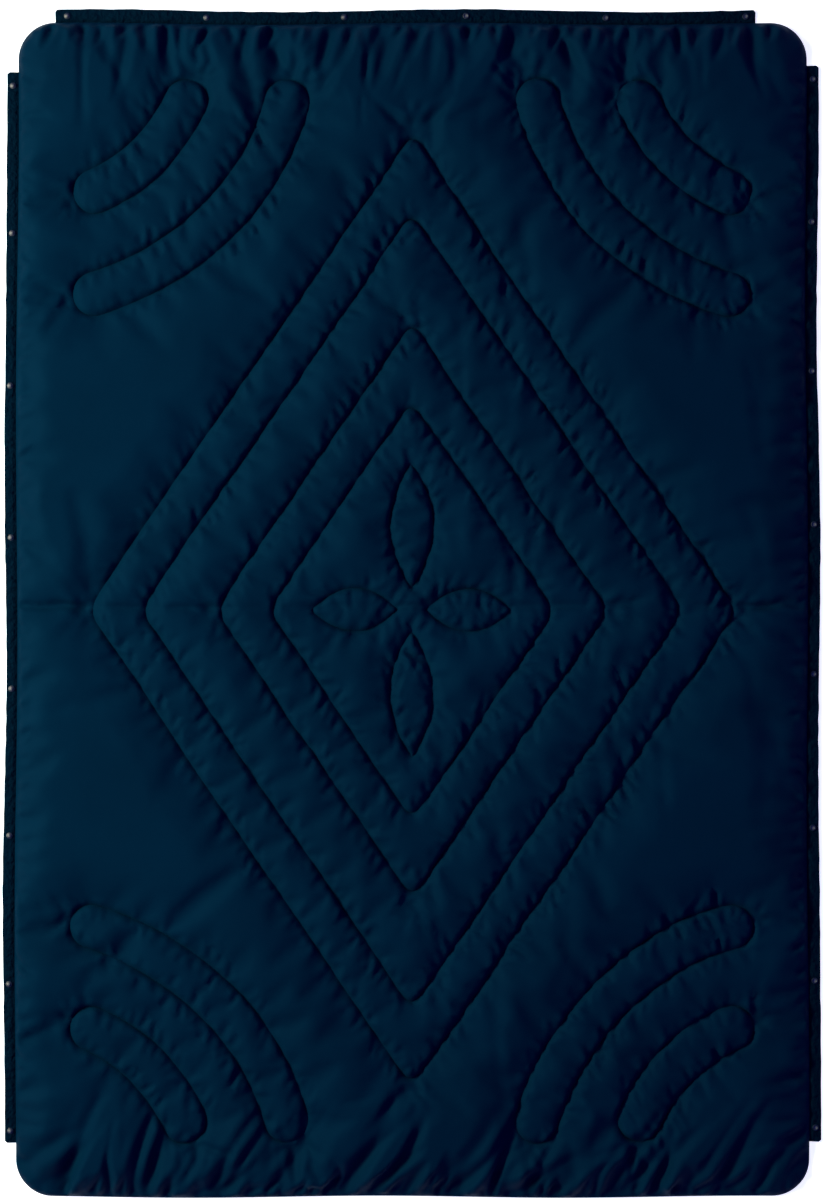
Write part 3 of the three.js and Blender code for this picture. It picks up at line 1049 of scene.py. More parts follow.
@dataclass(frozen=True)
class MetalFinish:
    """Pressed snap metal, under dark enamel on its caps and bare where it snaps together."""

    name: str
    dark: Triple
    rubbed: Triple
    metallic: float
    wear_size: float = 0.0025
    wear_from: float = 0.45
    wear_to: float = 0.75
    scratch_size: float = 0.0008
    scratch_stretch: Triple = (1, 0.15, 1)
    scratch_depth: float = 0.00002
    scratch_strength: float = 0.4
    scratch_roughness: float = 0.2
    roughness: float = 0.34

    def material(self) -> bpy.types.Material:
        """Builds one of the snaps' materials."""
        graph = Graph(self.name, {"Metallic": self.metallic})
        scratch = graph.noise(self.scratch_size, 2, self.scratch_stretch)
        rubbed = graph.node(
            "ShaderNodeValToRGB",
            {"stops": ((self.wear_from, 0.0), (self.wear_to, 1.0))},
            {0: graph.noise(self.wear_size, NOISE_DETAIL)},
            output="Color",
        )
        return graph.finish(
            base_color=graph.blend(rubbed, self.dark, self.rubbed),
            roughness=scratch * self.scratch_roughness + self.roughness,
            normal=graph.bump(scratch, self.scratch_depth, self.scratch_strength),
        )


ENAMEL = MetalFinish("snap_enamel", (0.003, 0.007, 0.016), (0.016, 0.022, 0.034), 0.0)
BARE_METAL = MetalFinish("snap_metal", (0.09, 0.09, 0.09), (0.15, 0.15, 0.15), 0.3)


@dataclass(frozen=True)
class FloorFinish:
    """Plain pale studio floor."""

    colour: Triple = (0.86, 0.86, 0.86)
    cloud_size: float = 0.8
    cloud_tone: float = 0.99
    roughness: float = 0.9
    glow: float = 1.0

    def material(self) -> bpy.types.Material:
        """Builds the floor's material."""
        graph = Graph(
            "studio_floor",
            {"Roughness": self.roughness, "Specular IOR Level": 0.0, "Emission Strength": self.glow},
        )
        cloudy = graph.noise(self.cloud_size, 1)
        tone = graph.blend(cloudy, self.colour, tuple(self.cloud_tone * part for part in self.colour))
        return graph.finish(base_color=tone, emission_color=tone)


@dataclass(frozen=True)
class Folding:
    """What every fold is like: a valley that fades at both ends, with a softer ridge on each side.

    The bow is a share of the fold's length, and the reach and the ridges' place are in widths of the fold.
    """

    bow: float = 0.28
    reach: float = 3.5
    wide: float = 1.15
    narrowing: float = 0.5
    fade_start: float = 0.04
    fade_length: float = 0.94
    valley_power: float = 1.6
    ridge_place: float = 1.9
    outer_ridge: float = 0.5
    inner_ridge: float = 0.28

    def deepen(self, depth: np.ndarray, fold: Fold, points: np.ndarray) -> None:
        """Adds one fold to the depths at plan points."""
        direction = unit(math.radians(fold.heading))
        left = np.array([-direction[1], direction[0]])
        length = fold.length * MM
        width = fold.width * MM
        away = points - np.array([fold.x, fold.y]) * MM
        near = np.abs(away - direction * length / 2).max(axis=1) < length / 2 + self.reach * width
        run = away[near] @ direction
        along = np.clip(run / length, 0, 1)
        beyond = (run - along * length) / width
        bow = self.bow * length * along * (1 - along) * math.cos(fold.x + fold.y)
        across = (away[near] @ left - bow) / (width * (self.wide - self.narrowing * along))
        fade = np.sin(math.pi * np.sqrt(self.fade_start + self.fade_length * along))
        fade *= np.exp(-beyond * beyond)
        valley = np.exp(-np.abs(across) ** self.valley_power)
        side = np.where(across * fold.x > 0, self.outer_ridge, self.inner_ridge)
        ridge = np.exp(-((np.abs(across) - self.ridge_place) ** 2)) * side
        depth[near] += fold.depth * MM * fade * (valley - ridge)


@dataclass(frozen=True)
class Puckers:
    """The small ridges that thread tension draws up square to a stitch line."""

    height: float = 0.0031
    fine_pitch: float = 0.0085
    fine_share: float = 0.7
    wide_pitch: float = 0.015
    lean: float = 0.9
    lean_pitch: float = 0.11
    reach: float = 0.017
    reach_waver: Swell = Swell(0.011, 0.035)
    start: float = 0.004
    cells: int = 8192

    def heights(self, seam: Measured) -> np.ndarray:
        """Returns the ridges' heights at points, from what a line measures at them."""
        lean = seam.distance * self.lean * self._noise(Seed.PUCKER_LEAN, seam.along, self.lean_pitch)
        place = seam.along + lean
        ridges = self._noise(Seed.FINE_PUCKERS, place, self.fine_pitch) * self.fine_share
        ridges += self._noise(Seed.WIDE_PUCKERS, place, self.wide_pitch)
        waver = self.reach_waver.height * self._noise(Seed.PUCKER_REACH, place, self.reach_waver.pitch)
        near = np.exp(-((seam.distance / (self.reach + waver)) ** 2))
        near *= np.clip(seam.distance / self.start, 0, 1)
        return self.height * ridges * near

    def _noise(self, seed: Seed, place: np.ndarray, pitch: float) -> np.ndarray:
        """Returns a noise along a line that is long enough for all stitch lines."""
        return Noise(seed, self.cells).along(place, pitch)


@dataclass(frozen=True)
class Edge:
    """How the face climbs in from its rim.

    At the head and the left the cloth rises in a narrow roll. At the right and the foot it lies lower and
    climbs in an even slope, most of all at the foot's left corner. The spans are shares of the width or the
    length.
    """

    rise: float = 0.042
    right_roll: float = 0.055
    foot_roll: float = 0.016
    corner_roll: float = 0.018
    right_span: Span = (0.2, 0.5)
    right_at_head: float = 0.55
    right_more: float = 0.45
    right_down: Span = (-0.2, 0.15)
    foot_span: Span = (0.3, 0.5)
    corner_span: Span = (0.25, 0.5)
    foot_less: float = 0.6
    foot_even: float = 0.95
    notch: float = 0.012
    notch_share: float = 0.3
    notch_right: float = 0.25
    notch_foot: float = 0.55

    def share(self, cut: Cut, points: np.ndarray, off_rim: np.ndarray) -> np.ndarray:
        """Returns the share of the height that is reached in from the rim.

        Args:
            cut: the blanket's cut.
            points: plan positions.
            off_rim: their distances in from the turned rim.

        Returns:
            One share for each point, 0 at the rim.
        """
        across = points[:, 0] / cut.width
        down = -points[:, 1] / cut.length
        right = smooth_step(across, *self.right_span)
        right *= self.right_at_head + self.right_more * smooth_step(down, *self.right_down)
        foot = smooth_step(down, *self.foot_span)
        corner = foot * smooth_step(-across, *self.corner_span)
        wide = self.rise + self.right_roll * right + self.foot_roll * foot * (1 - self.foot_less * right)
        wide += self.corner_roll * corner
        sloped = np.clip(off_rim / wide, 0, 1)
        even = np.maximum(right, foot * self.foot_even)
        roll = (1 - even) * crown(off_rim, wide) + even * sloped * (1.5 - 0.5 * sloped**2)
        notch = self.notch_share * (1 - self.notch_right * right) * (1 - self.notch_foot * foot)
        return notch * crown(off_rim, self.notch) + (1 - notch) * roll


# How the shell cloth behaves while it is blown up.
CLOTH_SETTINGS = {
    "quality": 5,
    "mass": 0.3,
    "tension_stiffness": 15,
    "compression_stiffness": 15,
    "shear_stiffness": 5,
    "bending_stiffness": 60,
    "shrink_min": -0.016,
    "use_pressure": True,
    "uniform_pressure_force": 14,
}


@dataclass
class QuiltedBody:
    """The filled body: a puffed and puckered face, a flat back, and the turned rim between them."""

    cut: Cut
    quilting: Quilting
    centre: np.ndarray
    step: float = 0.0050
    open_step: float = 0.0098
    back_step: float = 0.0200
    seam_step: float = 0.008
    rim_step: float = 0.02
    stray: float = 0.22
    clear: float = 0.55
    margin: float = 0.3
    fine_reach: float = 0.027
    open_height: float = 0.0205
    open_span: Span = (0.030, 0.095)
    channel_height: float = 0.0165
    channel_rise: float = 0.035
    notch: float = 0.009
    soft_share: float = 0.5
    stitch_width: float = 0.0008
    wide_lumps: Swell = Swell(0.0008, 0.07)
    fine_lumps: Swell = Swell(0.0007, 0.028)
    gathered: float = 0.175
    half_band: float = 0.018
    half_crease: Fold = Fold(0, 6, 0, 0, 6.2, 2.4)
    crease_sway: Swell = Swell(0.0025, 0.23)
    break_pitch: float = 0.16
    break_less: float = 1.6
    break_span: Span = (-0.1, 0.9)
    fold_rim: Span = (0.001, 0.011)
    fold_seam: Span = (0, 0.009)
    fold_before: float = 0.6
    fold_after: float = 0.95
    pucker_rim: Span = (0.004, 0.02)
    pucker_middle: float = 0.93
    pucker_right: float = 0.42
    rim_puckers: float = 1.1
    rim_shift: float = 3.7
    stitch_height: float = 0.006
    rim_height: float = 0.0043
    seam_middle: float = 0.0027
    back_rim: float = 0.0011
    back_stitch: float = 0.0032
    back_rise: float = 0.024
    back_puckers: float = 0.5
    turned: float = 0.0012
    held_rim: float = 1.5
    frames: int = 12
    lowest: float = 0.0032
    highest: float = 0.031
    cap: float = 0.009
    past_cap: float = 0.35
    edge: Edge = Edge()
    folding: Folding = Folding()
    puckers: Puckers = Puckers()
    seams: Lines = field(init=False)
    rim: Lines = field(init=False)

    def __post_init__(self) -> None:
        """Lays out the lines that the heights are measured from."""
        self.seams = Lines(self.quilting.loops(self.seam_step))
        self.rim = Lines([self.cut.outline(self.rim_step)])

    def build(self, finish: ShellFinish) -> bpy.types.Object:
        """Builds the body, simulates its face and dresses it.

        Args:
            finish: the shell cloth's finish.

        Returns:
            The finished piece.
        """
        ring = self.cut.outline(self.step, self.turned)
        face, seam_points = self._face_plan(ring)
        seam = self.seams.measure(face.points)
        rim = self.rim.measure(face.points)
        free = smooth_step(rim.distance, *self.fold_rim) * smooth_step(seam.distance, *self.fold_seam)
        folds = self._folds(face.points) * free
        face_points = self._raised(face, seam, rim)
        face_points[:, 2] -= self.fold_before * folds
        face_points = self._simulated(face, face_points, seam_points)
        face_points[:, 2] -= self.fold_after * folds
        back, back_points = self._back(ring)
        piece = self._joined(ring, face, face_points, back, back_points)
        self._crease(piece, seam_points)
        piece.data.materials.append(finish.material())
        return piece

    def _honeycomb(self, step: float, seed: Seed) -> np.ndarray:
        """Returns points over the whole cut in staggered rows, each a little out of place."""
        row_step = step * math.sin(math.pi / 3)
        rows, columns = np.mgrid[0 : int(self.cut.length / row_step), 0 : int(self.cut.width / step)]
        x = (columns + (rows % 2) / 2 + 0.25) * step - self.cut.width / 2
        y = (rows + 0.5) * row_step - self.cut.length / 2
        points = np.column_stack([x.ravel(), y.ravel()])
        return points + np.random.default_rng(seed).uniform(-self.stray, self.stray, points.shape) * step

    def _gap(self, points: np.ndarray) -> np.ndarray:
        """Returns the distances of plan points to the nearest stitch line or the turned rim."""
        off_rim = self.rim.measure(points).distance - self.turned
        return np.minimum(self.seams.measure(points).distance, off_rim)

    def _face_plan(self, ring: np.ndarray) -> tuple[PlanMesh, np.ndarray]:
        """Lays out the face, fine beside the stitches and coarser over the open cloth.

        Args:
            ring: the rim's points.

        Returns:
            The plan mesh, and the indices of its points on stitch lines.
        """
        rings = [ring, *self.quilting.loops(self.step)]
        edges, spans = ring_edges(rings)
        fine = self._honeycomb(self.step, Seed.FINE_PLAN)
        fine_gap = self._gap(fine)
        is_near = (fine_gap < self.fine_reach) | self._is_creased(fine, 0)
        fine = fine[(fine_gap > self.step * self.clear) & is_near]
        wide = self._honeycomb(self.open_step, Seed.OPEN_PLAN)
        margin = self.step * self.margin
        wide = wide[(self._gap(wide) > self.fine_reach + margin) & ~self._is_creased(wide, margin)]
        inside = [points[inside_ring(points, ring)] for points in (fine, wide)]
        plan = PlanMesh.over(np.vstack([*rings, *inside]), edges)
        return plan, plan.where()[len(ring) : spans[-1][1]]

    def _is_creased(self, points: np.ndarray, margin: float) -> np.ndarray:
        """Says which plan points are at the head or foot end, where the long gathers are, or half-way."""
        gathered = self.cut.length / 2 - np.abs(points[:, 1]) < self.gathered + margin
        half_way = np.abs(points[:, 1] - self.half_crease.y * MM) < self.half_band + margin
        return gathered | half_way

    def _folds(self, points: np.ndarray) -> np.ndarray:
        """Returns the depth of the folds at plan points, and of the broken crease half-way."""
        depth = np.zeros(len(points))
        for fold in (*FOLDS, *Gathers().folds(self.quilting)):
            self.folding.deepen(depth, fold, points)
        place = points[:, 0] + NOISE_START
        sway = self.crease_sway.height * Noise(Seed.CREASE_SWAY).along(place, self.crease_sway.pitch)
        across = points[:, 1] - self.half_crease.y * MM - sway
        unbroken = self.break_less * np.abs(points[:, 0])
        shown = smooth_step(
            Noise(Seed.CREASE_BREAKS).along(place, self.break_pitch) + unbroken, *self.break_span
        )
        width = self.half_crease.width * MM
        depth += self.half_crease.depth * MM * shown * np.exp(-((across / width) ** 2))
        return depth

    def _raised(self, face: PlanMesh, seam: Measured, rim: Measured) -> np.ndarray:
        """Puffs the face up over its filling, with the beginnings of the puckers.

        Args:
            face: the face's plan.
            seam: what the stitch lines measure at its points.
            rim: what the rim measures at its points.

        Returns:
            The face's points in the row's frame.
        """
        off_seam = np.maximum(seam.distance - self.stitch_width, 0)
        rise = (1 - self.soft_share) * crown(off_seam, self.notch)
        rise += self.soft_share * crown(off_seam, self.channel_rise)
        lumps = self.wide_lumps.height * Noise(Seed.WIDE_LUMPS).over(face.points, self.wide_lumps.pitch)
        lumps += self.fine_lumps.height * Noise(Seed.FINE_LUMPS).over(face.points, self.fine_lumps.pitch)
        puffed = self.stitch_height + (self.channel_height - self.stitch_height) * rise
        puffed += (self.open_height - self.channel_height) * smooth_step(seam.distance, *self.open_span)
        edge = self.edge.share(self.cut, face.points, np.maximum(rim.distance - self.turned, 0))
        height = self.rim_height + (puffed + lumps * rise - self.rim_height) * edge
        drawn_up = self.pucker_middle + self.pucker_right * face.points[:, 0] / (self.cut.width / 2)
        height += self.puckers.heights(seam) * smooth_step(rim.distance, *self.pucker_rim) * drawn_up
        height += self.puckers.heights(Measured(rim.distance, rim.along + self.rim_shift)) * self.rim_puckers
        return np.column_stack([self.cut.settled(face.points) + self.centre, height])

    def _simulated(self, face: PlanMesh, points: np.ndarray, seam_points: np.ndarray) -> np.ndarray:
        """Blows the face up over its filling as cloth that its stitches and its rim hold down.

        Args:
            face: the face's plan.
            points: the face's points before it is blown up.
            seam_points: the indices of the points that stitches hold.

        Returns:
            The face's points afterwards.
        """
        cloth = new_piece("face_cloth", points, face.triangles)
        rim_points = np.nonzero(self.rim.measure(face.points).distance < self.turned * self.held_rim)[0]
        held = cloth.vertex_groups.new(name="held")
        held.add([int(i) for i in np.concatenate([seam_points, rim_points])], 1.0, "REPLACE")
        only(cloth)
        modifier = cloth.modifiers.new("Cloth", "CLOTH")
        settings = modifier.settings
        for name, value in CLOTH_SETTINGS.items():
            setattr(settings, name, value)
        settings.effector_weights.gravity = 0
        settings.vertex_group_mass = held.name
        modifier.collision_settings.use_collision = False
        modifier.collision_settings.use_self_collision = False
        modifier.point_cache.frame_start = 1
        modifier.point_cache.frame_end = self.frames + 1
        for frame in range(1, self.frames + 1):
            bpy.context.scene.frame_set(frame)
        graph = bpy.context.evaluated_depsgraph_get()
        blown = mesh_points(cloth.evaluated_get(graph).data)
        bpy.context.scene.frame_set(1)
        bpy.data.objects.remove(cloth, do_unlink=True)
        moved = blown - points
        reach = np.linalg.norm(moved, axis=1)
        kept = np.minimum(reach, self.cap + self.past_cap * np.maximum(reach - self.cap, 0))
        moved *= (kept / np.maximum(reach, TINY))[:, None]
        return points + moved

    def _back(self, ring: np.ndarray) -> tuple[PlanMesh, np.ndarray]:
        """Lays out the back, flat on the ground and drawn up at the stitches and the rim.

        Args:
            ring: the rim's points.

        Returns:
            The back's plan, and its points in the row's frame.
        """
        rings = [ring, *self.quilting.loops(self.back_step)]
        wide = self._honeycomb(self.back_step, Seed.BACK_PLAN)
        gap = np.minimum(self.seams.measure(wide).distance, self.rim.measure(wide).distance)
        wide = wide[(gap > self.back_step * self.clear) & inside_ring(wide, ring)]
        plan = PlanMesh.over(np.vstack([*rings, wide]), ring_edges(rings)[0])
        seam = self.seams.measure(plan.points)
        rim = self.rim.measure(plan.points)
        lift = (1 - crown(seam.distance, self.back_rise)) * self.back_stitch
        edge = (1 - crown(rim.distance - self.turned, self.back_rise)) * self.back_rim
        pucker = np.maximum(self.puckers.heights(seam), 0) * self.back_puckers
        height = np.maximum(lift + pucker, edge)
        return plan, np.column_stack([self.cut.settled(plan.points) + self.centre, height])

    def _joined(
        self,
        ring: np.ndarray,
        face: PlanMesh,
        face_points: np.ndarray,
        back: PlanMesh,
        back_points: np.ndarray,
    ) -> bpy.types.Object:
        """Joins face, turned rim and back to one closed piece.

        Args:
            ring: the rim's points.
            face: the face's plan.
            face_points: the face's points.
            back: the back's plan.
            back_points: the back's points.

        Returns:
            The piece.
        """
        count = len(ring)
        face_points = face_points.copy()
        face_points[:, 2] = np.clip(face_points[:, 2], self.lowest, self.highest)
        middle = self.cut.settled(self._pushed(ring)) + self.centre
        seam_ring = np.column_stack([middle, np.full(count, self.seam_middle)])
        verts = np.vstack([face_points, back_points, seam_ring])
        top = face.where()[:count]
        bottom = len(face_points) + back.where()[:count]
        edge = len(face_points) + len(back_points) + np.arange(count)
        faces = face.triangles.tolist()
        faces += (back.triangles[:, ::-1] + len(face_points)).tolist()
        for upper, lower in ((top, edge), (edge, bottom)):
            for i in range(count):
                after = (i + 1) % count
                faces.append((lower[i], lower[after], upper[after], upper[i]))
        return new_piece("blanket_body", verts, faces)

    def _pushed(self, ring: np.ndarray) -> np.ndarray:
        """Returns the rim's points moved out to the cut's edge."""
        ahead = np.roll(ring, -1, axis=0) - np.roll(ring, 1, axis=0)
        outward = np.column_stack([ahead[:, 1], -ahead[:, 0]])
        outward /= np.linalg.norm(outward, axis=1)[:, None]
        return ring + outward * self.turned

    def _crease(self, piece: bpy.types.Object, seam_points: np.ndarray) -> None:
        """Keeps the cloth's crease at each stitch line sharp.

        Args:
            piece: the body.
            seam_points: the indices of the points that stitches hold.
        """
        on_seam = np.zeros(len(piece.data.vertices), dtype=bool)
        on_seam[seam_points] = True
        ends = np.empty(len(piece.data.edges) * 2, dtype=int)
        piece.data.edges.foreach_get("vertices", ends)
        sharp = piece.data.attributes.new("sharp_edge", "BOOLEAN", "EDGE")
        sharp.data.foreach_set("value", on_seam[ends.reshape(-1, 2)].all(axis=1))


@dataclass
class Stitching:
    """The quilting thread: one short stitch after another along every stitch line."""

    cut: Cut
    quilting: Quilting
    centre: np.ndarray
    pitch: float = 0.0042
    length: float = 0.0034
    radius: float = 0.00034
    height: float = 0.0062
    sides: int = 4
    taper_from: float = 0.4
    taper: float = 0.55
    dive: float = 0.9

    def build(self, finish: ThreadFinish) -> bpy.types.Object:
        """Builds the stitches as one piece and dresses it.

        Args:
            finish: the thread's finish.

        Returns:
            The finished piece.
        """
        stitch, corners = self._stitch()
        verts = []
        faces = []
        count = 0
        for loop in self.quilting.loops(self.pitch):
            places = self.cut.settled(loop) + self.centre
            ahead = np.roll(places, -1, axis=0) - places
            heading = ahead / np.linalg.norm(ahead, axis=1)[:, None]
            for place, (dx, dy) in zip(places + ahead / 2, heading):
                turned = np.column_stack([
                    stitch[:, 0] * dx - stitch[:, 1] * dy + place[0],
                    stitch[:, 0] * dy + stitch[:, 1] * dx + place[1],
                    stitch[:, 2] + self.height,
                ])
                verts.append(turned)
                faces.append(corners + count)
                count += len(stitch)
        piece = new_piece("quilting_thread", np.vstack(verts), np.vstack(faces).tolist())
        piece.data.materials.append(finish.material())
        return piece

    def _stitch(self) -> tuple[np.ndarray, np.ndarray]:
        """Models one stitch by hand tools: a slim rod, fattened in its middle and tapered to where it dives.

        Returns:
            Its points, and the corners of its triangles.
        """
        bpy.ops.object.select_all(action="DESELECT")
        bpy.ops.mesh.primitive_cylinder_add(
            vertices=self.sides, radius=self.radius, depth=self.length, rotation=(0, math.pi / 2, 0)
        )
        rod = bpy.context.object
        bpy.ops.object.transform_apply(location=True, rotation=True, scale=True)
        bpy.ops.object.mode_set(mode="EDIT")
        bpy.ops.mesh.select_all(action="SELECT")
        bpy.ops.mesh.bisect(plane_co=(0, 0, 0), plane_no=(1, 0, 0))
        bpy.ops.mesh.select_all(action="SELECT")
        bpy.ops.mesh.quads_convert_to_tris()
        bpy.ops.object.mode_set(mode="OBJECT")
        points = mesh_points(rod.data)
        ends = np.abs(points[:, 0]) > self.length * self.taper_from
        points[ends, 1] *= self.taper
        points[ends, 2] = points[ends, 2] * self.taper - self.radius * self.dive
        corners = np.array([tuple(face.vertices) for face in rod.data.polygons])
        bpy.data.objects.remove(rod, do_unlink=True)
        return points, corners


class Side(Enum):
    """The edge of the blanket that a tape is sewn to."""

    TOP = "top"
    LEFT = "left"
    RIGHT = "right"


@dataclass(frozen=True)
class Tape:
    """One tape's place along its edge, in millimetres, and its snaps' places."""

    side: Side
    start: float
    end: float
    reach: float
    snaps: tuple[float, ...]

    def out(self, cut: Cut, along: np.ndarray, out: np.ndarray) -> np.ndarray:
        """Returns plan positions from distances along the edge and out from it, in metres."""
        if self.side is Side.TOP:
            return np.column_stack([along, cut.length / 2 + out])
        sign = -1 if self.side is Side.LEFT else 1
        return np.column_stack([sign * (cut.width / 2 + out), along])

    def nodes(self) -> list[str]:
        """Returns the names of the tape's snaps in the frame."""
        return [f"snap_{self.side.value}_{i + 1}" for i in range(len(self.snaps))]


TAPES = (
    Tape(Side.TOP, -601, 578, 22, (-581, -346, -114, 91, 326, 561)),
    Tape(Side.LEFT, -896, 903, 19, (880, 633, 377, 122, -132, -379, -629, -876)),
    Tape(Side.RIGHT, -893, 913, 20, (890, 651, 401, 144, -107, -365, -622, -869)),
)


@dataclass
class SnapTapes:
    """The three snap tapes, cloth strips tucked under the rim, with a hole for each snap's post."""

    cut: Cut
    centre: np.ndarray
    tuck: float = 0.0014
    tuck_top: float = 0.0010
    tuck_rise: float = 0.0055
    under: float = 0.0019
    thickness: float = 0.0018
    waver: float = 0.0009
    waver_pitch: float = 0.097
    quiver: Swell = Swell(0.0005, 0.018)
    corner: float = 0.004
    ripple: Swell = Swell(0.0011, 0.03)
    ripple_least: float = 0.65
    ripple_more: float = 0.35
    ripple_span: Span = (0.014, 0.060)
    crinkle: Swell = Swell(0.0004, 0.007)
    step: float = 0.0032
    first_row: float = 0.8
    first_point: float = 0.7
    last_point: float = 0.6
    clear: float = 0.5
    hole: float = 0.0025
    hole_points: int = 17
    round_over: float = 0.0005
    sharp: float = 60
    same_point: float = 0.000001

    def build(self, tape: Tape, finish: TapeFinish) -> bpy.types.Object:
        """Builds one tape and dresses it.

        Args:
            tape: its place and its snaps.
            finish: the tape's finish.

        Returns:
            The finished piece.
        """
        rings = self._rings(tape)
        plan, ring_points = self._plan(tape, rings)
        upper = self._lifted(tape, plan.points, self.under + self.thickness, self.tuck_top)
        lower = self._lifted(tape, plan.points, self.under, 0)
        verts = np.vstack([upper, lower])
        faces = plan.triangles.tolist() + (plan.triangles[:, ::-1] + len(upper)).tolist()
        for ring in ring_points:
            for here, after in zip(ring, np.roll(ring, -1)):
                faces.append((here + len(upper), after + len(upper), after, here))
        piece = new_piece(f"snap_tape_{tape.side.value}", verts, faces)
        round_edges(piece, self.round_over, self.sharp)
        bpy.ops.object.mode_set(mode="EDIT")
        bpy.ops.mesh.select_all(action="SELECT")
        bpy.ops.mesh.remove_doubles(threshold=self.same_point)
        bpy.ops.mesh.dissolve_degenerate(threshold=self.same_point)
        bpy.ops.object.mode_set(mode="OBJECT")
        piece.data.materials.append(finish.material())
        return piece

    def _rings(self, tape: Tape) -> list[np.ndarray]:
        """Returns the tape's outline, counterclockwise, and its holes, clockwise, as plan points."""
        start, end, reach = tape.start * MM, tape.end * MM, tape.reach * MM
        count = round((end - start) / self.step)
        along = np.linspace(start, end, count + 1)
        quiver = self.quiver.height * Noise(Seed.TAPE_EDGE).along(along + NOISE_START, self.quiver.pitch)
        outer = reach + self.waver * np.sin(along / self.waver_pitch) + quiver
        taper = np.minimum(along - start, end - along)
        outer -= self.corner * (1 - crown(taper, self.corner))
        inner_edge = tape.out(self.cut, along, np.full(count + 1, -self.tuck))
        outer_edge = tape.out(self.cut, along, outer)
        outline = np.vstack([inner_edge, outer_edge[::-1]])
        area = np.sum(outline[:, 0] * np.roll(outline[:, 1], -1) - outline[:, 1] * np.roll(outline[:, 0], -1))
        if area < 0:
            outline = outline[::-1]
        rings = [outline]
        for snap in tape.snaps:
            middle = tape.out(self.cut, np.array([snap * MM]), np.array([reach / 2]))[0]
            rings.append(arc(middle, self.hole, 2 * math.pi, 0, self.hole_points)[:-1])
        return rings

    def _plan(self, tape: Tape, rings: list[np.ndarray]) -> tuple[PlanMesh, list[np.ndarray]]:
        """Lays out the tape with its holes.

        Args:
            tape: its place and its snaps.
            rings: its outline and its holes.

        Returns:
            The plan mesh, and the indices of each ring's points.
        """
        edges, spans = ring_edges(rings)
        last = self.step * self.last_point
        rows = np.arange(self.step * self.first_row - self.tuck, tape.reach * MM - last, self.step)
        along = np.arange(tape.start * MM + self.step * self.first_point, tape.end * MM - last, self.step)
        grid = np.vstack([
            tape.out(self.cut, along + (row % 2) * self.step / 2, np.full(len(along), out))
            for row, out in enumerate(rows)
        ])
        gap = Lines(rings).measure(grid).distance
        grid = grid[(gap > self.step * self.clear) & inside_ring(grid, rings[0])]
        for hole in rings[1:]:
            grid = grid[~inside_ring(grid, hole)]

        def keep(middles: np.ndarray) -> np.ndarray:
            """Says which middles are on the tape and not over a hole."""
            kept = inside_ring(middles, rings[0])
            for hole in rings[1:]:
                kept &= ~inside_ring(middles, hole)
            return kept

        plan = PlanMesh.over(np.vstack([*rings, grid]), edges, keep)
        where = plan.where()
        return plan, [where[low:high] for low, high in spans]

    def _lifted(self, tape: Tape, points: np.ndarray, base: float, tucked: float) -> np.ndarray:
        """Returns a side of the tape, low under the rim, flat at each snap and rippling between them.

        Args:
            tape: its place and its snaps.
            points: its plan positions.
            base: the side's height at the snaps.
            tucked: the side's height under the rim.

        Returns:
            The points in the row's frame.
        """
        is_top = tape.side is Side.TOP
        along = points[:, 0] if is_top else points[:, 1]
        out = points[:, 1] - self.cut.length / 2 if is_top else np.abs(points[:, 0]) - self.cut.width / 2
        nearest = np.min([np.abs(along - snap * MM) for snap in tape.snaps], axis=0)
        free = smooth_step(nearest, *self.ripple_span)
        place = along + NOISE_START
        swing = self.ripple_more * Noise(Seed.TAPE_RIPPLE).along(place, self.ripple.pitch)
        lift = self.ripple.height * free * (self.ripple_least + swing)
        lift += self.crinkle.height * free * Noise(Seed.TAPE_CRINKLE).along(place + out, self.crinkle.pitch)
        height = tucked + (base + lift - tucked) * smooth_step(out, 0, self.tuck_rise)
        return np.column_stack([self.cut.laid(points) + self.centre, height])


class SnapKind(Enum):
    """The front piece of a snap."""

    STUD = "stud"
    SOCKET = "socket"


# The front piece's rings from its edge to its middle, each with its radius and its height.
FRONT_RINGS = {
    SnapKind.STUD: (
        (0.0053, 0.0045),
        (0.0047, 0.0048),
        (0.0027, 0.0049),
        (0.0021, 0.0053),
        (0.0019, 0.0060),
        (0.0023, 0.0067),
        (0.0022, 0.0073),
        (0.0015, 0.0076),
        (0.0006, 0.0076),
    ),
    SnapKind.SOCKET: (
        (0.0053, 0.0050),
        (0.0050, 0.0056),
        (0.0044, 0.0059),
        (0.0036, 0.0059),
        (0.0031, 0.0057),
        (0.0029, 0.0052),
        (0.0025, 0.0047),
        (0.0010, 0.0047),
    ),
}


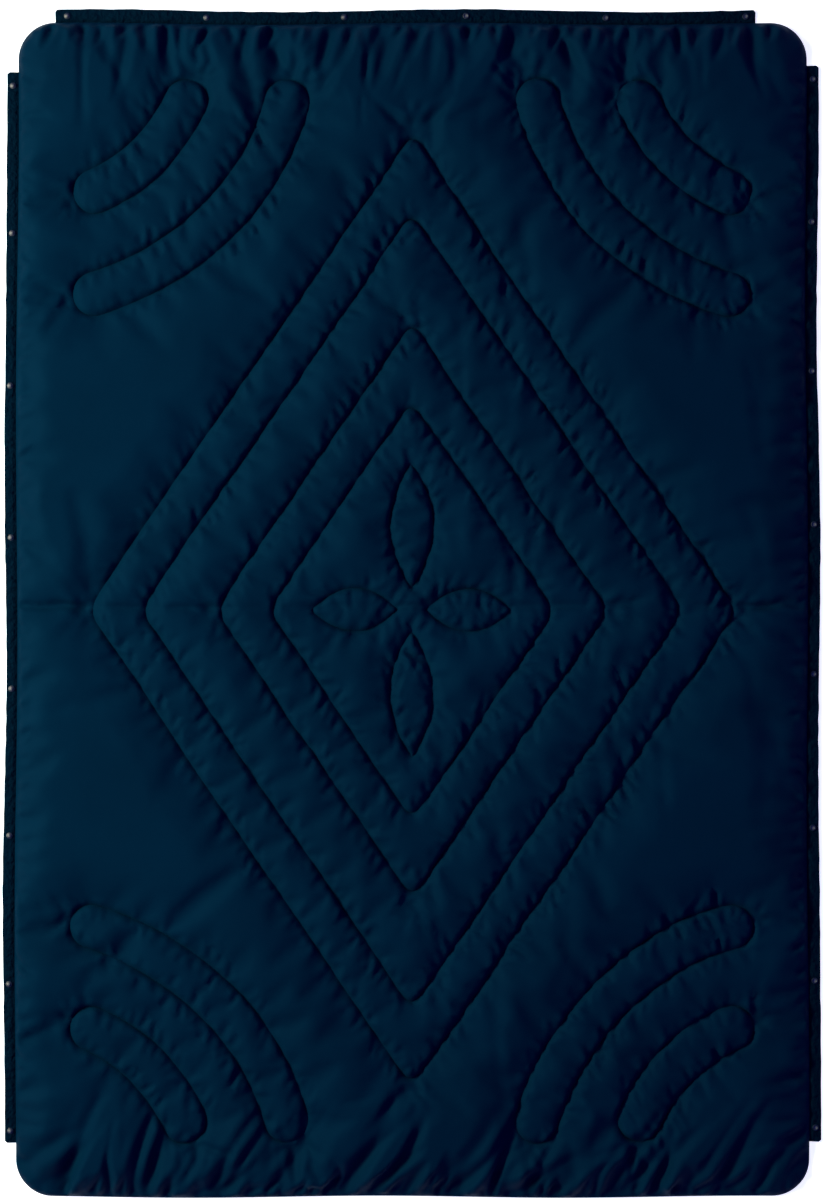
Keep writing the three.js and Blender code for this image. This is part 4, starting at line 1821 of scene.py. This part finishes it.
@dataclass
class Snaps:
    """The pressed metal snaps: a back cap and post, and a stud or a socket in front of the tape."""

    radius: float = 0.0053
    foot: float = 0.81
    foot_height: float = 0.0006
    edge_height: float = 0.0009
    back_share: float = 0.98
    back_height: float = 0.0015
    post: float = 0.0019
    post_height: float = 0.0016
    front_base: float = 0.0040
    bare_radius: float = 0.0029
    sides: int = 40
    rounding: float = 0.00012
    sharp: float = 40
    smooth: float = 35

    def model(self, kind: SnapKind) -> bpy.types.Mesh:
        """Models one snap at the origin.

        Args:
            kind: the front piece.

        Returns:
            Its mesh.
        """
        bpy.ops.object.select_all(action="DESELECT")
        bpy.ops.mesh.primitive_cylinder_add(
            vertices=self.sides,
            radius=self.radius * self.foot,
            depth=self.foot_height,
            location=(0, 0, self.foot_height / 2),
        )
        snap = bpy.context.object
        bpy.ops.object.transform_apply(location=True, rotation=True, scale=True)
        steps = [
            (self.radius, self.edge_height),
            (self.radius * self.back_share, self.back_height),
            (self.post, self.post_height),
            (self.post, self.front_base),
            (self.radius, self.front_base),
            *FRONT_RINGS[kind],
        ]
        self._grow(snap, steps)
        return self._finished(snap)

    def _grow(self, snap: bpy.types.Object, steps: Sequence[Span]) -> None:
        """Extrudes the top face ring by ring.

        Args:
            snap: the object.
            steps: each ring's radius and height.
        """
        only(snap)
        bpy.ops.object.mode_set(mode="EDIT")
        bpy.ops.mesh.select_all(action="DESELECT")
        shape = bmesh.from_edit_mesh(snap.data)
        top = max(shape.faces, key=lambda face: face.calc_center_median().z)
        top.select_set(True)
        bmesh.update_edit_mesh(snap.data)
        radius = self.radius * self.foot
        height = self.foot_height
        for wide, high in steps:
            bpy.ops.mesh.extrude_region_move(TRANSFORM_OT_translate={"value": (0, 0, high - height)})
            scale = wide / radius
            bpy.ops.transform.resize(value=(scale, scale, 1), center_override=(0, 0, high))
            radius, height = wide, high
        bpy.ops.object.mode_set(mode="OBJECT")

    def _finished(self, snap: bpy.types.Object) -> bpy.types.Mesh:
        """Rounds the edges, smooths the shading and takes the mesh off its object."""
        round_edges(snap, self.rounding, self.sharp)
        bpy.ops.object.shade_smooth_by_angle(angle=math.radians(self.smooth))
        mesh = snap.data
        for face in mesh.polygons:
            off_middle = math.hypot(face.center.x, face.center.y)
            face.material_index = int(face.center.z > self.front_base and off_middle < self.bare_radius)
        bpy.data.objects.remove(snap, do_unlink=True)
        return mesh

    def place(
        self, model: bpy.types.Mesh, node: str, finishes: Sequence[bpy.types.Material]
    ) -> bpy.types.Object:
        """Sets a copy of a snap where its node is.

        Args:
            model: the snap's mesh at the origin.
            node: the frame's node that it stands for.
            finishes: the materials of its caps and of its bare middle.

        Returns:
            The placed piece.
        """
        low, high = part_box(node)
        mesh = model.copy()
        mesh.name = f"{node}_pressed"
        mesh.transform(Matrix.Translation(((low[0] + high[0]) / 2, (low[1] + high[1]) / 2, 0)))
        for index, finish in enumerate(finishes):
            if index < len(mesh.materials):
                mesh.materials[index] = finish
            else:
                mesh.materials.append(finish)
        piece = bpy.data.objects.new(f"{node}_pressed", mesh)
        bpy.context.collection.objects.link(piece)
        return piece


@dataclass
class Studio:
    """The pale floor, the long lamp low on the left, the blue sky, and the camera straight above."""

    floor_size: float = 60.0
    floor_cells: int = 8
    floor_height: float = -0.0004
    lamp_place: Triple = (-2.32, 0.42, 1.62)
    lamp_size: Span = (2.8, 0.5)
    lamp_power: float = 136
    lamp_colour: Triple = (1.0, 1.0, 0.76)
    sky_colour: Triple = (0.05, 0.12, 1.0)
    sky_strength: float = 0.42
    lens: float = 85.0
    film_height: float = 36.0
    margin_left: float = 3.0
    margin_right: float = 2.0
    margin_top: float = 9.5
    margin_bottom: float = 2.5

    def build(self, finish: FloorFinish) -> None:
        """Builds the floor, the lamp, the sky and the camera."""
        self._floor(finish)
        self._lights()
        self._camera()

    def _floor(self, finish: FloorFinish) -> None:
        """Lays the floor just under the blanket."""
        bpy.ops.object.select_all(action="DESELECT")
        bpy.ops.mesh.primitive_grid_add(
            x_subdivisions=self.floor_cells,
            y_subdivisions=self.floor_cells,
            size=self.floor_size,
            location=(0, 0, self.floor_height),
        )
        floor = bpy.context.object
        floor.name = "studio_floor"
        floor.data.materials.append(finish.material())
        floor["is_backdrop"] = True

    def _lights(self) -> None:
        """Sets the lamp, which looks at the blanket's middle, and the sky that fills its shadows."""
        light = bpy.data.lights.new("key", "AREA")
        light.shape = "RECTANGLE"
        light.size, light.size_y = self.lamp_size
        light.energy = self.lamp_power
        light.color = self.lamp_colour
        lamp = bpy.data.objects.new("key", light)
        lamp.location = self.lamp_place
        lamp.rotation_euler = (-Vector(self.lamp_place)).to_track_quat("-Z", "Y").to_euler()
        bpy.context.collection.objects.link(lamp)
        world = bpy.context.scene.world or bpy.data.worlds.new("studio")
        bpy.context.scene.world = world
        world.use_nodes = True
        sky = world.node_tree.nodes["Background"]
        sky.inputs["Color"].default_value = (*self.sky_colour, 1)
        sky.inputs["Strength"].default_value = self.sky_strength
        bpy.context.scene.view_settings.view_transform = "Standard"

    def _camera(self) -> None:
        """Frames the whole blanket from straight above, with the photograph's margins."""
        low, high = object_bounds()
        length_pixels = PHOTO_HEIGHT - self.margin_top - self.margin_bottom
        pixel = (high[1] - low[1]) / length_pixels
        middle_x = (low[0] + high[0]) / 2 + (self.margin_right - self.margin_left) / 2 * pixel
        middle_y = (low[1] + high[1]) / 2 + (self.margin_top - self.margin_bottom) / 2 * pixel
        lens = bpy.data.cameras.new("camera")
        lens.sensor_fit = "VERTICAL"
        lens.sensor_height = self.film_height
        lens.lens = self.lens
        distance = PHOTO_HEIGHT * pixel / 2 * self.lens / (self.film_height / 2)
        lens.clip_end = self.floor_size
        camera = bpy.data.objects.new("camera", lens)
        camera.location = (middle_x, middle_y, distance)
        bpy.context.collection.objects.link(camera)
        bpy.context.scene.camera = camera


def report(piece: bpy.types.Object) -> bpy.types.Object:
    """Lets a finished piece ride on the blanket, and logs it."""
    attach(piece, BODY)
    LOG.info("%s: %d faces", piece.name, len(piece.data.polygons))
    return piece


def main() -> None:
    """Builds every piece in order."""
    logging.basicConfig(level=logging.INFO, format="%(name)s: %(message)s")
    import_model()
    Studio().build(FloorFinish())

    cut = Cut()
    quilting = Quilting(cut)
    low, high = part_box("quilted_body")
    laid = cut.laid(cut.outline(OUTLINE_STEP))
    centre = np.array([(low[i] + high[i]) / 2 for i in (0, 1)]) - (laid.min(0) + laid.max(0)) / 2

    body = report(QuiltedBody(cut, quilting, centre).build(ShellFinish()))
    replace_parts(body, "quilted_body")

    thread = report(Stitching(cut, quilting, centre).build(ThreadFinish()))

    tapes = SnapTapes(cut, centre)
    snaps = Snaps()
    metals = [finish.material() for finish in (ENAMEL, BARE_METAL)]
    models = {kind: snaps.model(kind) for kind in SnapKind}
    tape_finish = TapeFinish()
    for tape in TAPES:
        strip = report(tapes.build(tape, tape_finish))
        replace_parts(strip, f"tape_{tape.side.value}")
        for node, along in zip(tape.nodes(), tape.snaps):
            is_stud = tape.side is Side.LEFT or (tape.side is Side.TOP and along < 0)
            snap = snaps.place(models[SnapKind.STUD if is_stud else SnapKind.SOCKET], node, metals)
            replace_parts(report(snap), node)

    for model in models.values():
        bpy.data.meshes.remove(model)


if __name__ == "__main__":
    main()
